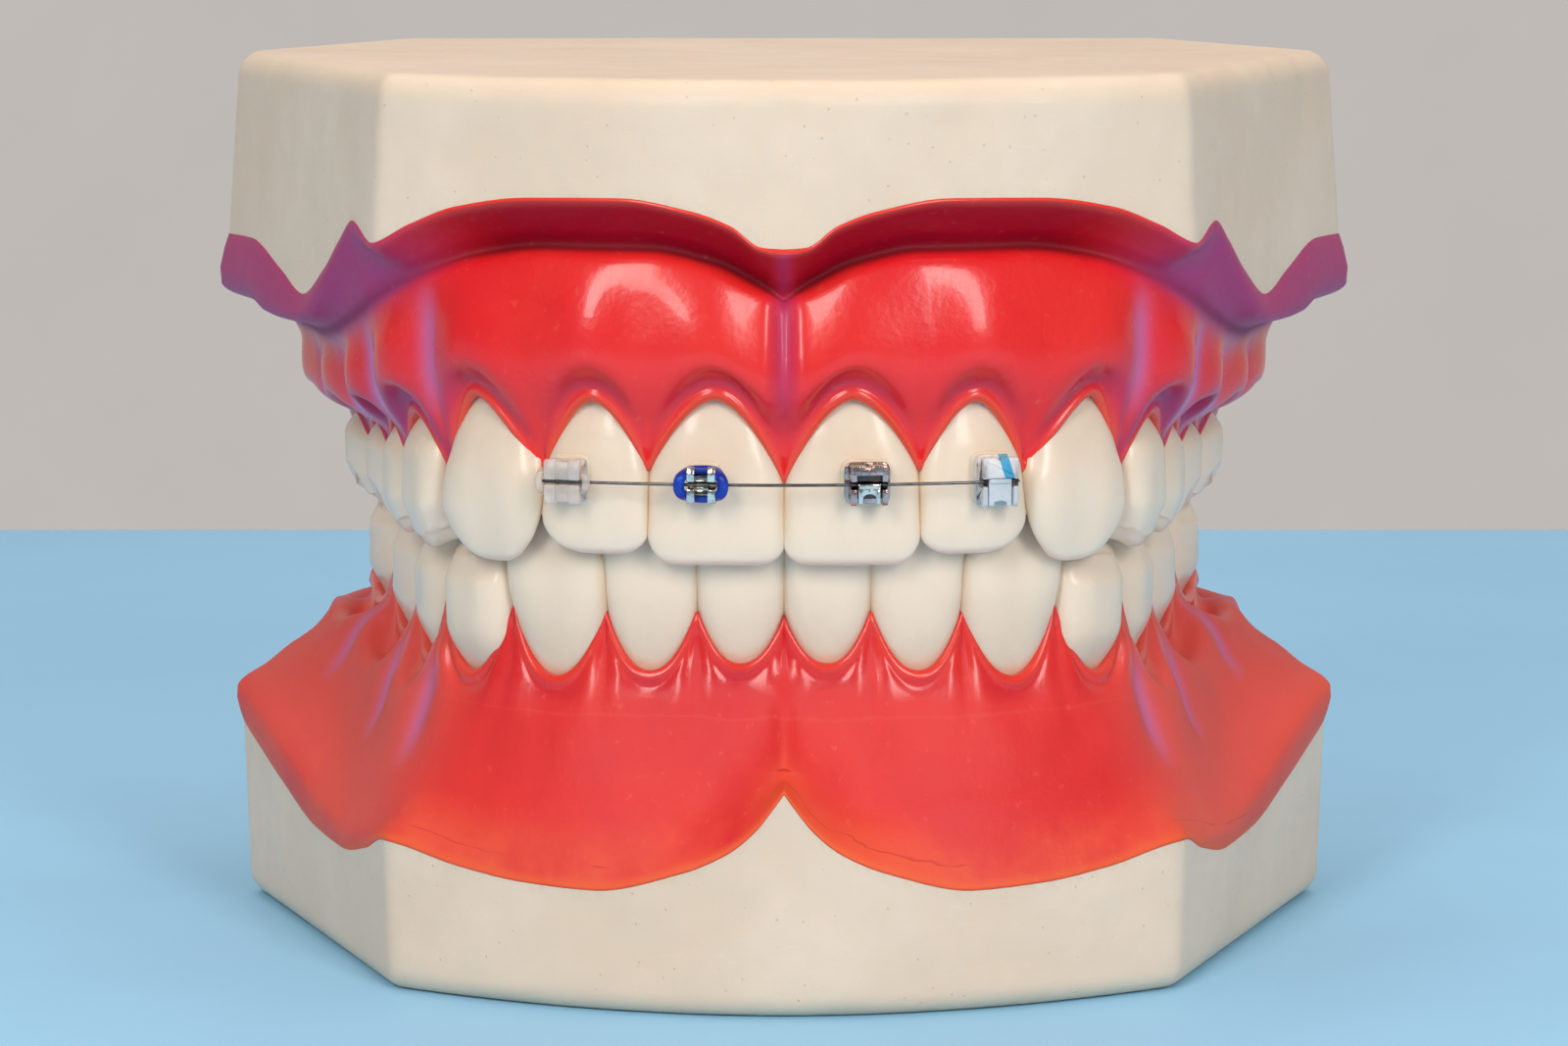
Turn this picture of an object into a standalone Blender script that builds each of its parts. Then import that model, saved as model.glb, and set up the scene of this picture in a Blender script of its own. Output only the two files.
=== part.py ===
"""Orthodontic demonstration model of both jaws, with four kinds of bracket on one archwire.

Sizes are in millimetres and are turned into metres where a mesh is made. In plan, x runs to the
viewer's right and y runs back from the front of the bases; z is up from the lower base's foot.
Along each dental arch, s is the arc length from the midline and b is the distance outward from
the arch line, which joins the teeth at their widest.
"""

import math

import bmesh
import bpy
import numpy as np
from mathutils import Matrix, Vector

MM = 0.001

# Bases: overall sizes
TOTAL_HEIGHT = 58.0
BASE_DEPTH = 57.0
FRONT_HALF_WIDTH = 25.0
FRONT_CORNER_SETBACK = 8.0
FRONT_CURVE_POWER = 1.9
WIDE_HALF_WIDTH = 36.9
WIDE_CORNER_SETBACK = 38.0
BACK_HALF_WIDTH = 28.0
CORNER_ROUNDING = 3.0
EDGE_RADIUS = 1.6
UPPER_FLARE = 0.0020  # share of the half width gained for each millimetre down from the top
LOWER_FLARE = 0.0009  # the same, up from the foot
FAN_CENTRE = 34.0  # distance back of the point where the palate and the floor of the mouth meet

# Seam between base and gum: distance along the outline from the midline, and height
UPPER_SEAM = (
    (0.0, 47.8), (1.3, 47.9), (3.2, 49.2), (5.7, 50.1), (10.0, 50.8), (16.0, 50.7),
    (20.8, 50.0), (24.0, 48.8), (27.0, 47.5), (31.0, 48.6), (33.5, 47.2), (36.5, 45.1),
    (41.0, 43.1), (46.0, 44.3), (53.0, 45.8), (58.0, 45.7), (80.0, 45.0),
)
LOWER_SEAM = (
    (0.0, 14.2), (0.7, 13.2), (1.8, 11.8), (3.5, 10.4), (6.4, 9.1), (12.0, 7.8), (16.6, 8.0),
    (21.0, 8.6), (26.8, 9.7), (30.6, 8.5), (36.0, 7.5), (42.0, 7.8), (49.0, 9.4), (57.0, 11.7),
    (60.0, 12.6), (80.0, 13.0),
)
UPPER_SEAM_CENTRE = 52.5
LOWER_SEAM_CENTRE = 8.5
SEAM_GAP = 0.06

# Dental arch: upper arch line, then how far the lower one lies inside it
ARCH_FRONT = 3.0
ARCH_SCALE = 1.0  # stretches the arch line's lengths
ARCH_TURN = (  # arc length, and degrees turned from straight across
    (0.0, 0.0), (4.3, 2.2), (8.6, 8.0), (12.1, 16.5), (15.6, 25.5), (19.5, 35.5), (23.5, 50.0),
    (27.0, 64.5), (30.7, 74.0), (34.5, 77.5), (42.0, 77.5), (52.0, 76.5), (80.0, 76.5),
)
HEEL_START = 42.0  # setback from which the arch line draws in
HEEL_DRAW = 10.2  # how far it has drawn in at the back of the bases
OVERJET_FRONT = 2.3
OVERJET_BACK = 1.5
OVERJET_FADE = 24.0  # arc length over which the overjet goes from front to back

# Teeth, from the midline back: name, kind, width, height of the gum apex, height of the tip,
# height of the papilla behind it, and depth from lip side to tongue side at the neck
UPPER_TEETH = (
    ("central", "incisor", 8.55, 38.2, 27.9, 33.9, 6.2),
    ("lateral", "incisor", 7.05, 38.0, 28.5, 33.4, 5.6),
    ("canine", "canine", 7.90, 37.9, 27.6, 32.6, 6.6),
    ("first_premolar", "premolar", 7.20, 36.2, 27.3, 32.2, 8.6),
    ("second_premolar", "premolar", 6.90, 35.2, 27.3, 31.8, 8.8),
    ("first_molar", "molar", 10.00, 34.3, 27.3, 31.6, 10.4),
    ("second_molar", "molar", 9.40, 33.8, 27.3, 32.6, 10.2),
)
LOWER_TEETH = (
    ("central", "small_incisor", 5.50, 21.5, 30.2, 24.9, 5.4),
    ("lateral", "small_incisor", 6.00, 21.0, 30.3, 24.8, 5.6),
    ("canine", "blunt_canine", 6.80, 20.4, 30.5, 24.9, 6.0),
    ("first_premolar", "premolar", 7.10, 20.1, 29.3, 24.6, 7.4),
    ("second_premolar", "premolar", 7.30, 20.2, 29.3, 24.4, 8.0),
    ("first_molar", "molar", 10.90, 20.3, 29.3, 24.2, 9.4),
    ("second_molar", "molar", 10.30, 21.0, 29.3, 23.4, 9.2),
)
UPPER_MIDLINE_PAPILLA = 33.3
LOWER_MIDLINE_PAPILLA = 24.4
CONTACT_GAP = 0.07  # between neighbouring teeth at their widest
CANINE_ROOM = 7.0  # degrees that the teeth beside a canine give way to it on the tongue side
SOCKET_CLEARANCE = 0.06

# Bite: the surface between the back teeth, as a wave across the arch
BITE_HEIGHT = 28.35
BITE_WAVE = 0.95
BITE_WAVE_LENGTH = 6.4
BITE_CUSP_LINE = -1.2  # where the upper cheek cusps come lowest
BITE_GAP = 0.5
CUSP_SCALLOP = 0.9

# Gums: shape across the arch, against distance along the outline
UPPER_FOLD_OUT = ((0.0, -0.9), (20.0, -1.1), (27.0, 1.2), (34.0, 3.0), (45.0, 3.6), (80.0, 3.6))
UPPER_FOLD_HEIGHT = (
    (0.0, 44.6), (1.5, 45.4), (4.5, 46.8), (9.0, 47.6), (16.0, 47.6), (22.0, 47.0),
    (28.0, 45.2), (34.0, 43.0), (41.0, 41.4), (48.0, 41.8), (80.0, 41.6),
)
UPPER_BULGE_OUT = ((0.0, 0.7), (20.0, 0.9), (27.0, 1.2), (40.0, 2.2), (50.0, 2.6), (80.0, 2.4))
LOWER_FOLD_OUT = (
    (0.0, 3.6), (6.0, 2.7), (20.0, 2.8), (30.0, 3.4), (45.0, 4.2), (57.0, 5.8), (80.0, 4.0),
)
LOWER_FOLD_HEIGHT = (
    (0.0, 15.0), (6.0, 12.6), (20.0, 12.6), (40.0, 13.0), (57.0, 16.8), (80.0, 17.0),
)
LOWER_BULGE_OUT = ((0.0, 1.0), (20.0, 1.1), (40.0, 1.6), (57.0, 2.2), (80.0, 2.2))
FOLD_SHARE = 0.72  # the fold and the bulge stay within these shares of the way out to the base
BULGE_SHARE = 0.55
BULGE_LEVEL = ((0.0, 0.56), (22.0, 0.54), (42.0, 0.36), (80.0, 0.36))  # from the margin to the fold
BULGE_SPREAD = 2.6  # the bulge follows the margin's mean over this arc length to both sides
HEM_DROP = ((0.0, 0.3), (26.0, 0.3), (31.0, 0.7), (41.0, 1.5), (53.0, 2.2), (60.0, 1.6), (80.0, 1.6))
HEM_OUT = ((0.0, 0.0), (27.0, 0.0), (41.0, 0.3), (80.0, 0.3))
MARGIN_POWER = (1.7, 2.2)  # upper and lower: higher values give squarer arches over the teeth
LIP_OUT = -0.35
PAPILLA_DIP = 0.75  # a papilla lies this much further in than the lip over a tooth's middle
ROLL_OUT = 0.20  # the rolled margin's swell, and its distance from the edge
ROLL_HEIGHT = 1.6
EDGE_DROP = 0.25  # the crest over the edge of the margin
CREST_OUT = -1.9
RIDGE_WALL = 2.0  # gum thickness on the tongue side of the teeth
TONGUE_ROUND = (1.6, 1.2)  # rounding of the tongue side's margin, across and down
UPPER_TONGUE_MARGIN = 35.0
LOWER_TONGUE_MARGIN = 23.6
HEEL_DROP = 1.2  # the crest falls away by this much behind the last molar
PALATE_HEIGHT = 46.5
FLOOR_HEIGHT = 15.5
PALATE_FULLNESS = 0.9  # lower values give steeper side walls
FLOOR_FULLNESS = 0.55

# Braces
WIRE_DIAMETER = 0.25
WIRE_HEIGHT = 33.2
WIRE_STANDOFF = 1.385  # from the arch line forward to the wire, at the brackets
WIRE_LEFT_REACH = 1.45  # wire beyond the middle of the last bracket
WIRE_RIGHT_REACH = 1.35
SLOT_HEIGHT = 0.46
SLOT_FLOOR = 0.20  # behind the slot's centre
PAD_THICKNESS = 0.30
PAD_MARGIN = 0.15  # adhesive beyond a pad's edge
PAD_CORNER = 0.6
PAD_OVERHANG = 0.06  # a self-ligating bracket's pad above and below its body
PAD_SINK = 0.02  # how far a pad reaches into its body
GLUE_GAP = 0.03
GLUE_CORNER = 0.7
GLUE_DEPTH = 1.6  # adhesive before its tooth cuts it
DOOR_CLEARANCE = 0.04
# Brackets: side, tooth, distance of their middle beyond the tooth's middle, and sizes. A wing is half
# the width less the channel, and a stem is half as high as the neck behind the wings
CLEAR_TWIN = dict(
    side=-1, tooth=1, beyond=1.475, width=2.3, height=2.8, wing=0.75, stem=0.72, front=0.62, ring=0.4,
)
STEEL_TWIN = dict(
    side=-1, tooth=0, beyond=0.775, width=1.8, height=2.24, wing=0.5, stem=0.55, front=0.55, ring=0.5,
)
STEEL_SLIDER = dict(
    side=1, tooth=0, beyond=0.925, width=2.3, height=2.5, stem=0.72, front=0.62, door=1.5, pad=2.85,
)
CLEAR_SLIDER = dict(
    side=1, tooth=1, beyond=1.125, width=2.3, height=3.1, stem=0.95, front=0.62, door=1.6, pad=2.55,
)
PAD_BACK = 1.05  # from the slot's centre back to the rear of a bracket's pad
PAD_INSET = 0.08  # a pad's edges inside the wings' tips
PAD_SLOPE = 0.12  # from a pad's front to the stem
WING_ROOT = 0.06  # behind the slot's centre
WING_TIP = (0.08, 0.16, 0.40)  # in front of the slot's centre: the underside, the tip's start and end
WING_ROUND = (0.04, 0.06, 0.22, 0.40)  # steps of the rounding from the tip to the front face
CHANNEL_TAPER = 0.8
CHANNEL_DEPTH = 0.05
CUTTER_REACH = 1.0  # cutters run this far past what they cut
RING_SIDE_GAP = 0.18  # between a bracket's side and the elastic ring
RING_SQUARENESS = 0.45  # 1 would make a ring an ellipse
WING_CLEARANCE = 0.08
DOOR_BACK = -0.20  # plane that a door slides on, in front of the slot's centre
DOOR_TAPER = 0.12  # a door is this much narrower in front on each side, like a dovetail
DOOR_TOP = 0.24
DOOR_RECESS = 0.03  # a door's front behind its bracket's front
DOOR_FOOT = 0.12  # a door's foot above its bracket's foot
NOTCH_HALF_WIDTH = 0.42
NOTCH_RISE = 0.25
NOTCH_STEPS = 6

COLUMNS_FRONT = 5  # gum columns on each front tooth
COLUMNS_BACK = 3
RING_POINTS = 12  # points round each level of a tooth
RING_STEPS = 20  # points round an elastic ring
WIRE_POINTS = 17


def clear_scene():
    for thing in list(bpy.data.objects):
        bpy.data.objects.remove(thing, do_unlink=True)


def new_collection(name):
    collection = bpy.data.collections.new(name)
    bpy.context.scene.collection.children.link(collection)
    return collection


def new_material(name, colour, roughness, metallic=0.0, alpha=1.0):
    material = bpy.data.materials.new(name)
    material.use_nodes = True
    shader = material.node_tree.nodes["Principled BSDF"]
    shader.inputs["Base Color"].default_value = (*colour, 1.0)
    shader.inputs["Roughness"].default_value = roughness
    shader.inputs["Metallic"].default_value = metallic
    shader.inputs["Alpha"].default_value = alpha
    return material


def smooth_curve(points, where):
    """Cubic through the points, level or gentle at each so that it never overshoots."""
    x, y = np.array(points, float).T
    steps = np.diff(y) / np.diff(x)
    slopes = np.zeros(len(x))
    inner = steps[:-1] * steps[1:]
    same = inner > 0
    slopes[1:-1][same] = 2 * inner[same] / (steps[:-1] + steps[1:])[same]
    slopes[0] = steps[0]
    slopes[-1] = steps[-1]
    where = np.clip(np.abs(where), x[0], x[-1])
    i = np.clip(np.searchsorted(x, where) - 1, 0, len(x) - 2)
    span = x[i + 1] - x[i]
    t = (where - x[i]) / span
    return (
        (1 + 2 * t) * (1 - t) ** 2 * y[i]
        + t * (1 - t) ** 2 * span * slopes[i]
        + t * t * (3 - 2 * t) * y[i + 1]
        + t * t * (t - 1) * span * slopes[i + 1]
    )


def right_outline():
    """The base's plan from the front middle to the back corner, its corners rounded by averaging."""
    x = np.linspace(0, FRONT_HALF_WIDTH, 120)
    front = np.stack([x, FRONT_CORNER_SETBACK * (x / FRONT_HALF_WIDTH) ** FRONT_CURVE_POWER], 1)
    corners = np.array([
        front[-1], (WIDE_HALF_WIDTH, WIDE_CORNER_SETBACK), (BACK_HALF_WIDTH, BASE_DEPTH),
    ])
    sides = [a + np.linspace(0, 1, 150)[1:, None] * (b - a) for a, b in zip(corners, corners[1:])]
    line = np.concatenate([front, *sides])
    length = np.concatenate([[0], np.cumsum(np.hypot(*np.diff(line, axis=0).T))])
    even = np.linspace(0, length[-1], 700)
    line = np.stack([np.interp(even, length, line[:, i]) for i in (0, 1)], 1)
    reach = int(CORNER_ROUNDING / (even[1] - even[0]) / 2)
    before = line[1 : reach + 1][::-1] * (-1, 1)
    after = 2 * line[-1] - line[-reach - 1 : -1][::-1]
    padded = np.concatenate([before, line, after])
    window = np.ones(2 * reach + 1) / (2 * reach + 1)
    return np.stack([np.convolve(padded[:, i], window, "valid") for i in (0, 1)], 1)


OUTLINE = right_outline()
OUTLINE_LENGTH = np.concatenate([[0], np.cumsum(np.hypot(*np.diff(OUTLINE, axis=0).T))])


class Arch:
    """One dental arch in plan: places, outward directions and tooth limits along it."""

    def __init__(self, teeth, overjet_front, overjet_back):
        self.teeth = teeth
        t = np.linspace(0, 1.6 * BASE_DEPTH, 1500)
        turn = np.radians(smooth_curve(ARCH_TURN, (t[1:] + t[:-1]) / 2 / ARCH_SCALE))
        x = np.concatenate([[0], np.cumsum(np.cos(turn))]) * t[1]
        y = np.concatenate([[0], np.cumsum(np.sin(turn))]) * t[1] + ARCH_FRONT
        drawn = np.maximum(0, y - HEEL_START) / (BASE_DEPTH - HEEL_START)
        x -= HEEL_DRAW * drawn**2
        kept = y < BASE_DEPTH
        x, y = x[kept], y[kept]
        step = np.gradient(np.stack([x, y], 1), axis=0)
        step /= np.hypot(*step.T)[:, None]
        outward = np.stack([step[:, 1], -step[:, 0]], 1)
        fade = np.clip(y / OVERJET_FADE, 0, 1)
        inset = overjet_front + (overjet_back - overjet_front) * fade
        self.line = np.stack([x, y], 1) - outward * inset[:, None]
        self.outward = outward
        self.length = np.concatenate([[0], np.cumsum(np.hypot(*np.diff(self.line, axis=0).T))])
        self.limits = np.concatenate([[0], np.cumsum([tooth[2] for tooth in teeth])])

    def place(self, s):
        """Points and outward directions at arc lengths s, negative on the left."""
        s = np.asarray(s, float)
        side = np.where(s < 0, -1.0, 1.0)
        found = [np.interp(np.abs(s), self.length, values) for values in (*self.line.T, *self.outward.T)]
        point = np.stack([found[0] * side, found[1]], -1)
        outward = np.stack([found[2] * side, found[3]], -1)
        return point, outward / np.linalg.norm(outward, axis=-1, keepdims=True)


UPPER_ARCH = Arch(UPPER_TEETH, 0.0, 0.0)
LOWER_ARCH = Arch(LOWER_TEETH, OVERJET_FRONT, OVERJET_BACK)


def margin_heights(jaw, arch, s):
    """Gum margin on the lip side: arches from papilla to papilla over each tooth. Also gives how near
    each place is to a papilla, from 0 to 1."""
    s = np.abs(s)
    first, power = UPPER_MIDLINE_PAPILLA, MARGIN_POWER[0]
    if jaw == "lower":
        first, power = LOWER_MIDLINE_PAPILLA, MARGIN_POWER[1]
    papillae = [first] + [tooth[5] for tooth in arch.teeth]
    i = np.clip(np.searchsorted(arch.limits, s, side="right") - 1, 0, len(arch.teeth) - 1)
    apex = np.array([tooth[3] for tooth in arch.teeth])[i]
    t = np.clip((s - arch.limits[i]) / (arch.limits[i + 1] - arch.limits[i]), 0, 1)
    tip = np.where(t < 0.5, np.array(papillae)[i], np.array(papillae)[i + 1])
    near = np.abs(2 * t - 1)
    return apex + (tip - apex) * near**power, near


def cusp_phase(s):
    """0 at a gap between upper back teeth and 1 at the middle of a cusp."""
    limits = UPPER_ARCH.limits
    turns = np.interp(np.abs(s), limits[2:], [-1.0, 0.0, 1.0, 2.0, 4.0, 6.0])
    return 0.5 - 0.5 * np.cos(2 * math.pi * turns)


def bite_surface(plan):
    """Height of the surface between the back teeth, at plan points of shape (n, 2)."""
    away = np.hypot(
        np.abs(plan[:, None, 0]) - UPPER_ARCH.line[None, :, 0],
        plan[:, None, 1] - UPPER_ARCH.line[None, :, 1],
    )
    nearest = away.argmin(1)
    offset = np.stack([np.abs(plan[:, 0]), plan[:, 1]], 1) - UPPER_ARCH.line[nearest]
    out = (offset * UPPER_ARCH.outward[nearest]).sum(1)
    phase = cusp_phase(UPPER_ARCH.length[nearest])
    wave = BITE_WAVE * (0.72 + 0.28 * (2 * phase - 1))
    height = BITE_HEIGHT - wave * np.cos(2 * math.pi * (out - BITE_CUSP_LINE) / BITE_WAVE_LENGTH)
    return height, out, phase


# Each kind of tooth: levels from root end (-0.5) over the gum apex (0) to the tip (1), then the half
# width as a share of the width, the lip side and the tongue side as distances out from the arch line
# and as shares of the neck's depth back from it
TOOTH_FORMS = {
    "incisor": dict(
        level=(-0.50, 0.00, 0.25, 0.55, 0.80, 0.93, 1.00),
        half=(0.28, 0.44, 0.475, 0.496, 0.494, 0.462, 0.34),
        lip=(-2.60, -0.95, -0.35, -0.02, 0.00, -0.12, -0.35),
        tongue=(0.78, 1.00, 0.90, 0.56, 0.33, 0.25, 0.19),
    ),
    "small_incisor": dict(
        level=(-0.50, 0.00, 0.25, 0.55, 0.80, 0.93, 1.00),
        half=(0.26, 0.40, 0.450, 0.484, 0.496, 0.485, 0.40),
        lip=(-2.60, -0.95, -0.35, -0.02, 0.00, -0.12, -0.35),
        tongue=(0.78, 1.00, 0.90, 0.56, 0.33, 0.25, 0.19),
    ),
    "canine": dict(
        level=(-0.50, 0.00, 0.30, 0.55, 0.68, 0.82, 0.93, 1.00),
        half=(0.28, 0.43, 0.480, 0.496, 0.488, 0.370, 0.220, 0.070),
        lip=(-2.90, -0.90, -0.05, 0.22, 0.14, -0.08, -0.34, -0.60),
        tongue=(0.70, 1.00, 0.84, 0.44, 0.30, 0.24, 0.20, 0.14),
    ),
    "blunt_canine": dict(
        level=(-0.50, 0.00, 0.30, 0.55, 0.68, 0.82, 0.93, 1.00),
        half=(0.28, 0.42, 0.470, 0.492, 0.496, 0.440, 0.290, 0.080),
        lip=(-2.90, -0.90, -0.10, 0.16, 0.10, -0.12, -0.36, -0.60),
        tongue=(0.70, 1.00, 0.84, 0.44, 0.30, 0.24, 0.20, 0.14),
    ),
    "premolar": dict(
        level=(-0.50, 0.00, 0.30, 0.60, 0.86),
        half=(0.30, 0.43, 0.488, 0.496, 0.450),
        lip=(-2.40, -0.80, 0.30, 0.30, -0.35),
        tongue=(0.74, 1.00, 1.08, 1.06, 0.96),
    ),
    "molar": dict(
        level=(-0.50, 0.00, 0.30, 0.60, 0.86),
        half=(0.32, 0.45, 0.490, 0.496, 0.460),
        lip=(-2.20, -0.80, 0.30, 0.30, -0.30),
        tongue=(0.78, 1.00, 1.06, 1.05, 0.96),
    ),
}


def side_limits(arch, index):
    """The lines that a tooth shares with its neighbours, seen from its middle: for the side towards
    the midline and the side away from it, (distance along, distance out, slope of the line)."""
    middle, outward = arch.place((arch.limits[index] + arch.limits[index + 1]) / 2)
    along = np.array([-outward[1], outward[0]])
    kinds = [tooth[1] for tooth in arch.teeth]
    lines = []
    for end, other in ((0, index - 1), (1, index + 1)):
        contact, way = arch.place(arch.limits[index + end] + 1e-6)
        turn = math.acos(min(1.0, float(way @ outward)))
        if "canine" in kinds[index]:
            turn -= math.radians(CANINE_ROOM)
        elif 0 <= other < len(kinds) and "canine" in kinds[other]:
            turn += math.radians(CANINE_ROOM)
        offset = contact - middle
        lines.append((abs(float(offset @ along)), float(offset @ outward), math.tan(turn)))
    return lines


def tooth_ring(form, width, depth, level, grow, limits):
    """One level's outline in tooth axes, (a along the arch, b outward), as a superellipse with a
    flatter lip side and a narrower tongue side, kept inside the lines shared with its neighbours."""
    half = np.interp(level, form["level"], form["half"]) * width
    lip = np.interp(level, form["level"], form["lip"])
    tongue = lip - np.interp(level, form["level"], form["tongue"]) * depth
    turn = np.arange(RING_POINTS) * 2 * math.pi / RING_POINTS
    across, along = np.sin(turn), np.cos(turn)
    middle = lip - 0.42 * (lip - tongue)
    a = half * np.sign(along) * np.abs(along) ** 0.72
    reach = np.where(across > 0, lip - middle, middle - tongue)
    b = middle + reach * np.sign(across) * np.abs(across) ** 0.85
    a *= 1 - 0.22 * np.clip(-across, 0, 1) ** 1.5
    room = np.where(
        a < 0,
        limits[0][0] + np.minimum(b - limits[0][1], 0) * limits[0][2],
        limits[1][0] + np.minimum(b - limits[1][1], 0) * limits[1][2],
    )
    a *= np.minimum(1, (room - CONTACT_GAP / 2) / (width / 2))
    return np.stack([a + grow * along, b + grow * across], 1)


def tooth_rings(jaw, index, side, grow=0.0, root_grow=0.0):
    """All the rings of one tooth, root end first, as plan and height in the model's axes."""
    arch = UPPER_ARCH if jaw == "upper" else LOWER_ARCH
    name, kind, width, apex, tip, _, depth = arch.teeth[index]
    form = TOOTH_FORMS[kind]
    limits = side_limits(arch, index)
    middle = side * (arch.limits[index] + arch.limits[index + 1]) / 2
    point, outward = arch.place(middle)
    along = np.array([-outward[1], outward[0]])
    upward = 1.0 if jaw == "lower" else -1.0
    rings = []
    for level in form["level"]:
        ring = tooth_ring(form, width, depth, level, grow, limits)
        plan = point + ring[:, :1] * side * along + ring[:, 1:] * outward
        height = np.full(len(plan), apex + (tip - apex) * level)
        if level == form["level"][0]:
            height -= upward * root_grow
        rings.append(np.column_stack([plan, height]))
    if kind in ("premolar", "molar"):
        rings[-1:] = chewing_rings(rings[-1], jaw)
    return rings


def chewing_rings(edge, jaw):
    """The rings of a back tooth from the rim inward, lying on the bite surface."""
    centre = edge[:, :2].mean(0)
    upward = 1.0 if jaw == "lower" else -1.0
    rings = []
    for share in (1.0, 0.72, 0.38, 0.0):
        plan = centre + (edge[:, :2] - centre) * share
        height, out, phase = bite_surface(plan)
        height = height - upward * BITE_GAP / 2
        if jaw == "upper":
            outer = np.clip((out - BITE_CUSP_LINE + 1.2) / 1.2, 0, 1)
            height = height + CUSP_SCALLOP * outer * (1 - phase)
        if share == 1.0:
            height = height - upward * 0.35
        rings.append(np.column_stack([plan, height]))
    return rings


def metres(points):
    """From plan and height in millimetres to the model's frame in metres."""
    points = np.asarray(points, float).copy()
    points[..., 1] -= BASE_DEPTH / 2
    return points * MM


def make_object(name, mesh, material, collection):
    obj = bpy.data.objects.new(name, mesh)
    collection.objects.link(obj)
    if material:
        mesh.materials.append(material)
    return obj


def close_mesh(name, grids, caps):
    """A mesh from grids of points (columns, rows, 3) and single cap loops, welded and facing out."""
    work = bmesh.new()
    for grid in grids:
        columns, rows = grid.shape[:2]
        verts = [[work.verts.new(point) for point in column] for column in metres(grid)]
        for i in range(columns - 1):
            for j in range(rows - 1):
                a, b = verts[i][j], verts[i + 1][j]
                c, d = verts[i + 1][j + 1], verts[i][j + 1]
                work.faces.new((a, b, c))
                work.faces.new((a, c, d))
    for loop in caps:
        work.faces.new([work.verts.new(point) for point in metres(loop)])
    bmesh.ops.remove_doubles(work, verts=work.verts, dist=1e-7)
    bmesh.ops.recalc_face_normals(work, faces=work.faces)
    mesh = bpy.data.meshes.new(name)
    work.to_mesh(mesh)
    work.free()
    return mesh


def shade(mesh):
    mesh.shade_smooth()
    mesh.set_sharp_from_angle(angle=math.radians(40))


def make_tooth(name, rings, material, collection):
    grid = np.array(rings)
    grid = np.concatenate([grid, grid[:, :1]], 1)
    ends = [rings[0]]
    if np.ptp(rings[-1][:, 0]) > 1e-6:
        ends.append(rings[-1])
    mesh = close_mesh(name, [grid], ends)
    shade(mesh)
    return make_object(name, mesh, material, collection)


def gum_columns(arch):
    """Arc lengths of the gum's columns, closer together on the front teeth."""
    stops = []
    for i, tooth in enumerate(arch.teeth):
        count = COLUMNS_FRONT if i < 3 else COLUMNS_BACK
        start, end = arch.limits[i], arch.limits[i + 1]
        stops.extend(start + (end - start) * np.arange(count) / count)
    stops.append(arch.limits[-1])
    last = arch.length[-1]
    stops.extend(np.linspace(arch.limits[-1], last, 4)[1:])
    right = np.array(stops)
    return np.concatenate([-right[:0:-1], right])


def jaw_frame(arch, s):
    """Arch points, outward directions, outline points and their distances along the outline."""
    point, outward = arch.place(s)
    outward[[0, -1]] = [(-1, 0), (1, 0)]
    point[[0, -1], 1] = BASE_DEPTH
    rim = np.empty_like(point)
    along = np.empty(len(s))
    for k, (start, way) in enumerate(zip(point, outward)):
        side = -1 if s[k] < 0 else 1
        gap = OUTLINE * (side, 1) - start
        cross = gap[:, 0] * way[1] - gap[:, 1] * way[0]
        ahead = gap @ way > 0
        turns = np.flatnonzero((cross[:-1] * cross[1:] <= 0) & ahead[:-1])
        i = turns[0] if len(turns) else len(OUTLINE) - 2
        share = cross[i] / (cross[i] - cross[i + 1]) if cross[i] != cross[i + 1] else 1.0
        share = min(max(share, 0), 1)
        rim[k] = (OUTLINE[i] + share * (OUTLINE[i + 1] - OUTLINE[i])) * (side, 1)
        along[k] = OUTLINE_LENGTH[i] + share * (OUTLINE_LENGTH[i + 1] - OUTLINE_LENGTH[i])
    rim[[0, -1]] = [(-BACK_HALF_WIDTH, BASE_DEPTH), (BACK_HALF_WIDTH, BASE_DEPTH)]
    along[[0, -1]] = OUTLINE_LENGTH[-1]
    return point, outward, rim, along


def flared(rim, height, jaw):
    gain = UPPER_FLARE * (TOTAL_HEIGHT - height) if jaw == "upper" else LOWER_FLARE * height
    return np.column_stack([rim[:, 0] * (1 + gain), rim[:, 1], height])


def inner_ends(point):
    """Where each column ends inward: the fan centre, or the midline straight across from it."""
    return np.column_stack([np.zeros(len(point)), np.maximum(point[:, 1], FAN_CENTRE)])


def seam_rows(jaw, rim, along, ends, lift):
    """The surface between base and gum, from the outline inward."""
    seam = UPPER_SEAM if jaw == "upper" else LOWER_SEAM
    centre = UPPER_SEAM_CENTRE if jaw == "upper" else LOWER_SEAM_CENTRE
    edge = smooth_curve(seam, along)
    outer = flared(rim, edge, jaw)
    rows = []
    for share in (0.0, 0.3, 1.0):
        plan = outer[:, :2] + (ends - outer[:, :2]) * share
        blend = share * share * (3 - 2 * share)
        rows.append(np.column_stack([plan, edge + (centre - edge) * blend + lift]))
    return rows


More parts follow.
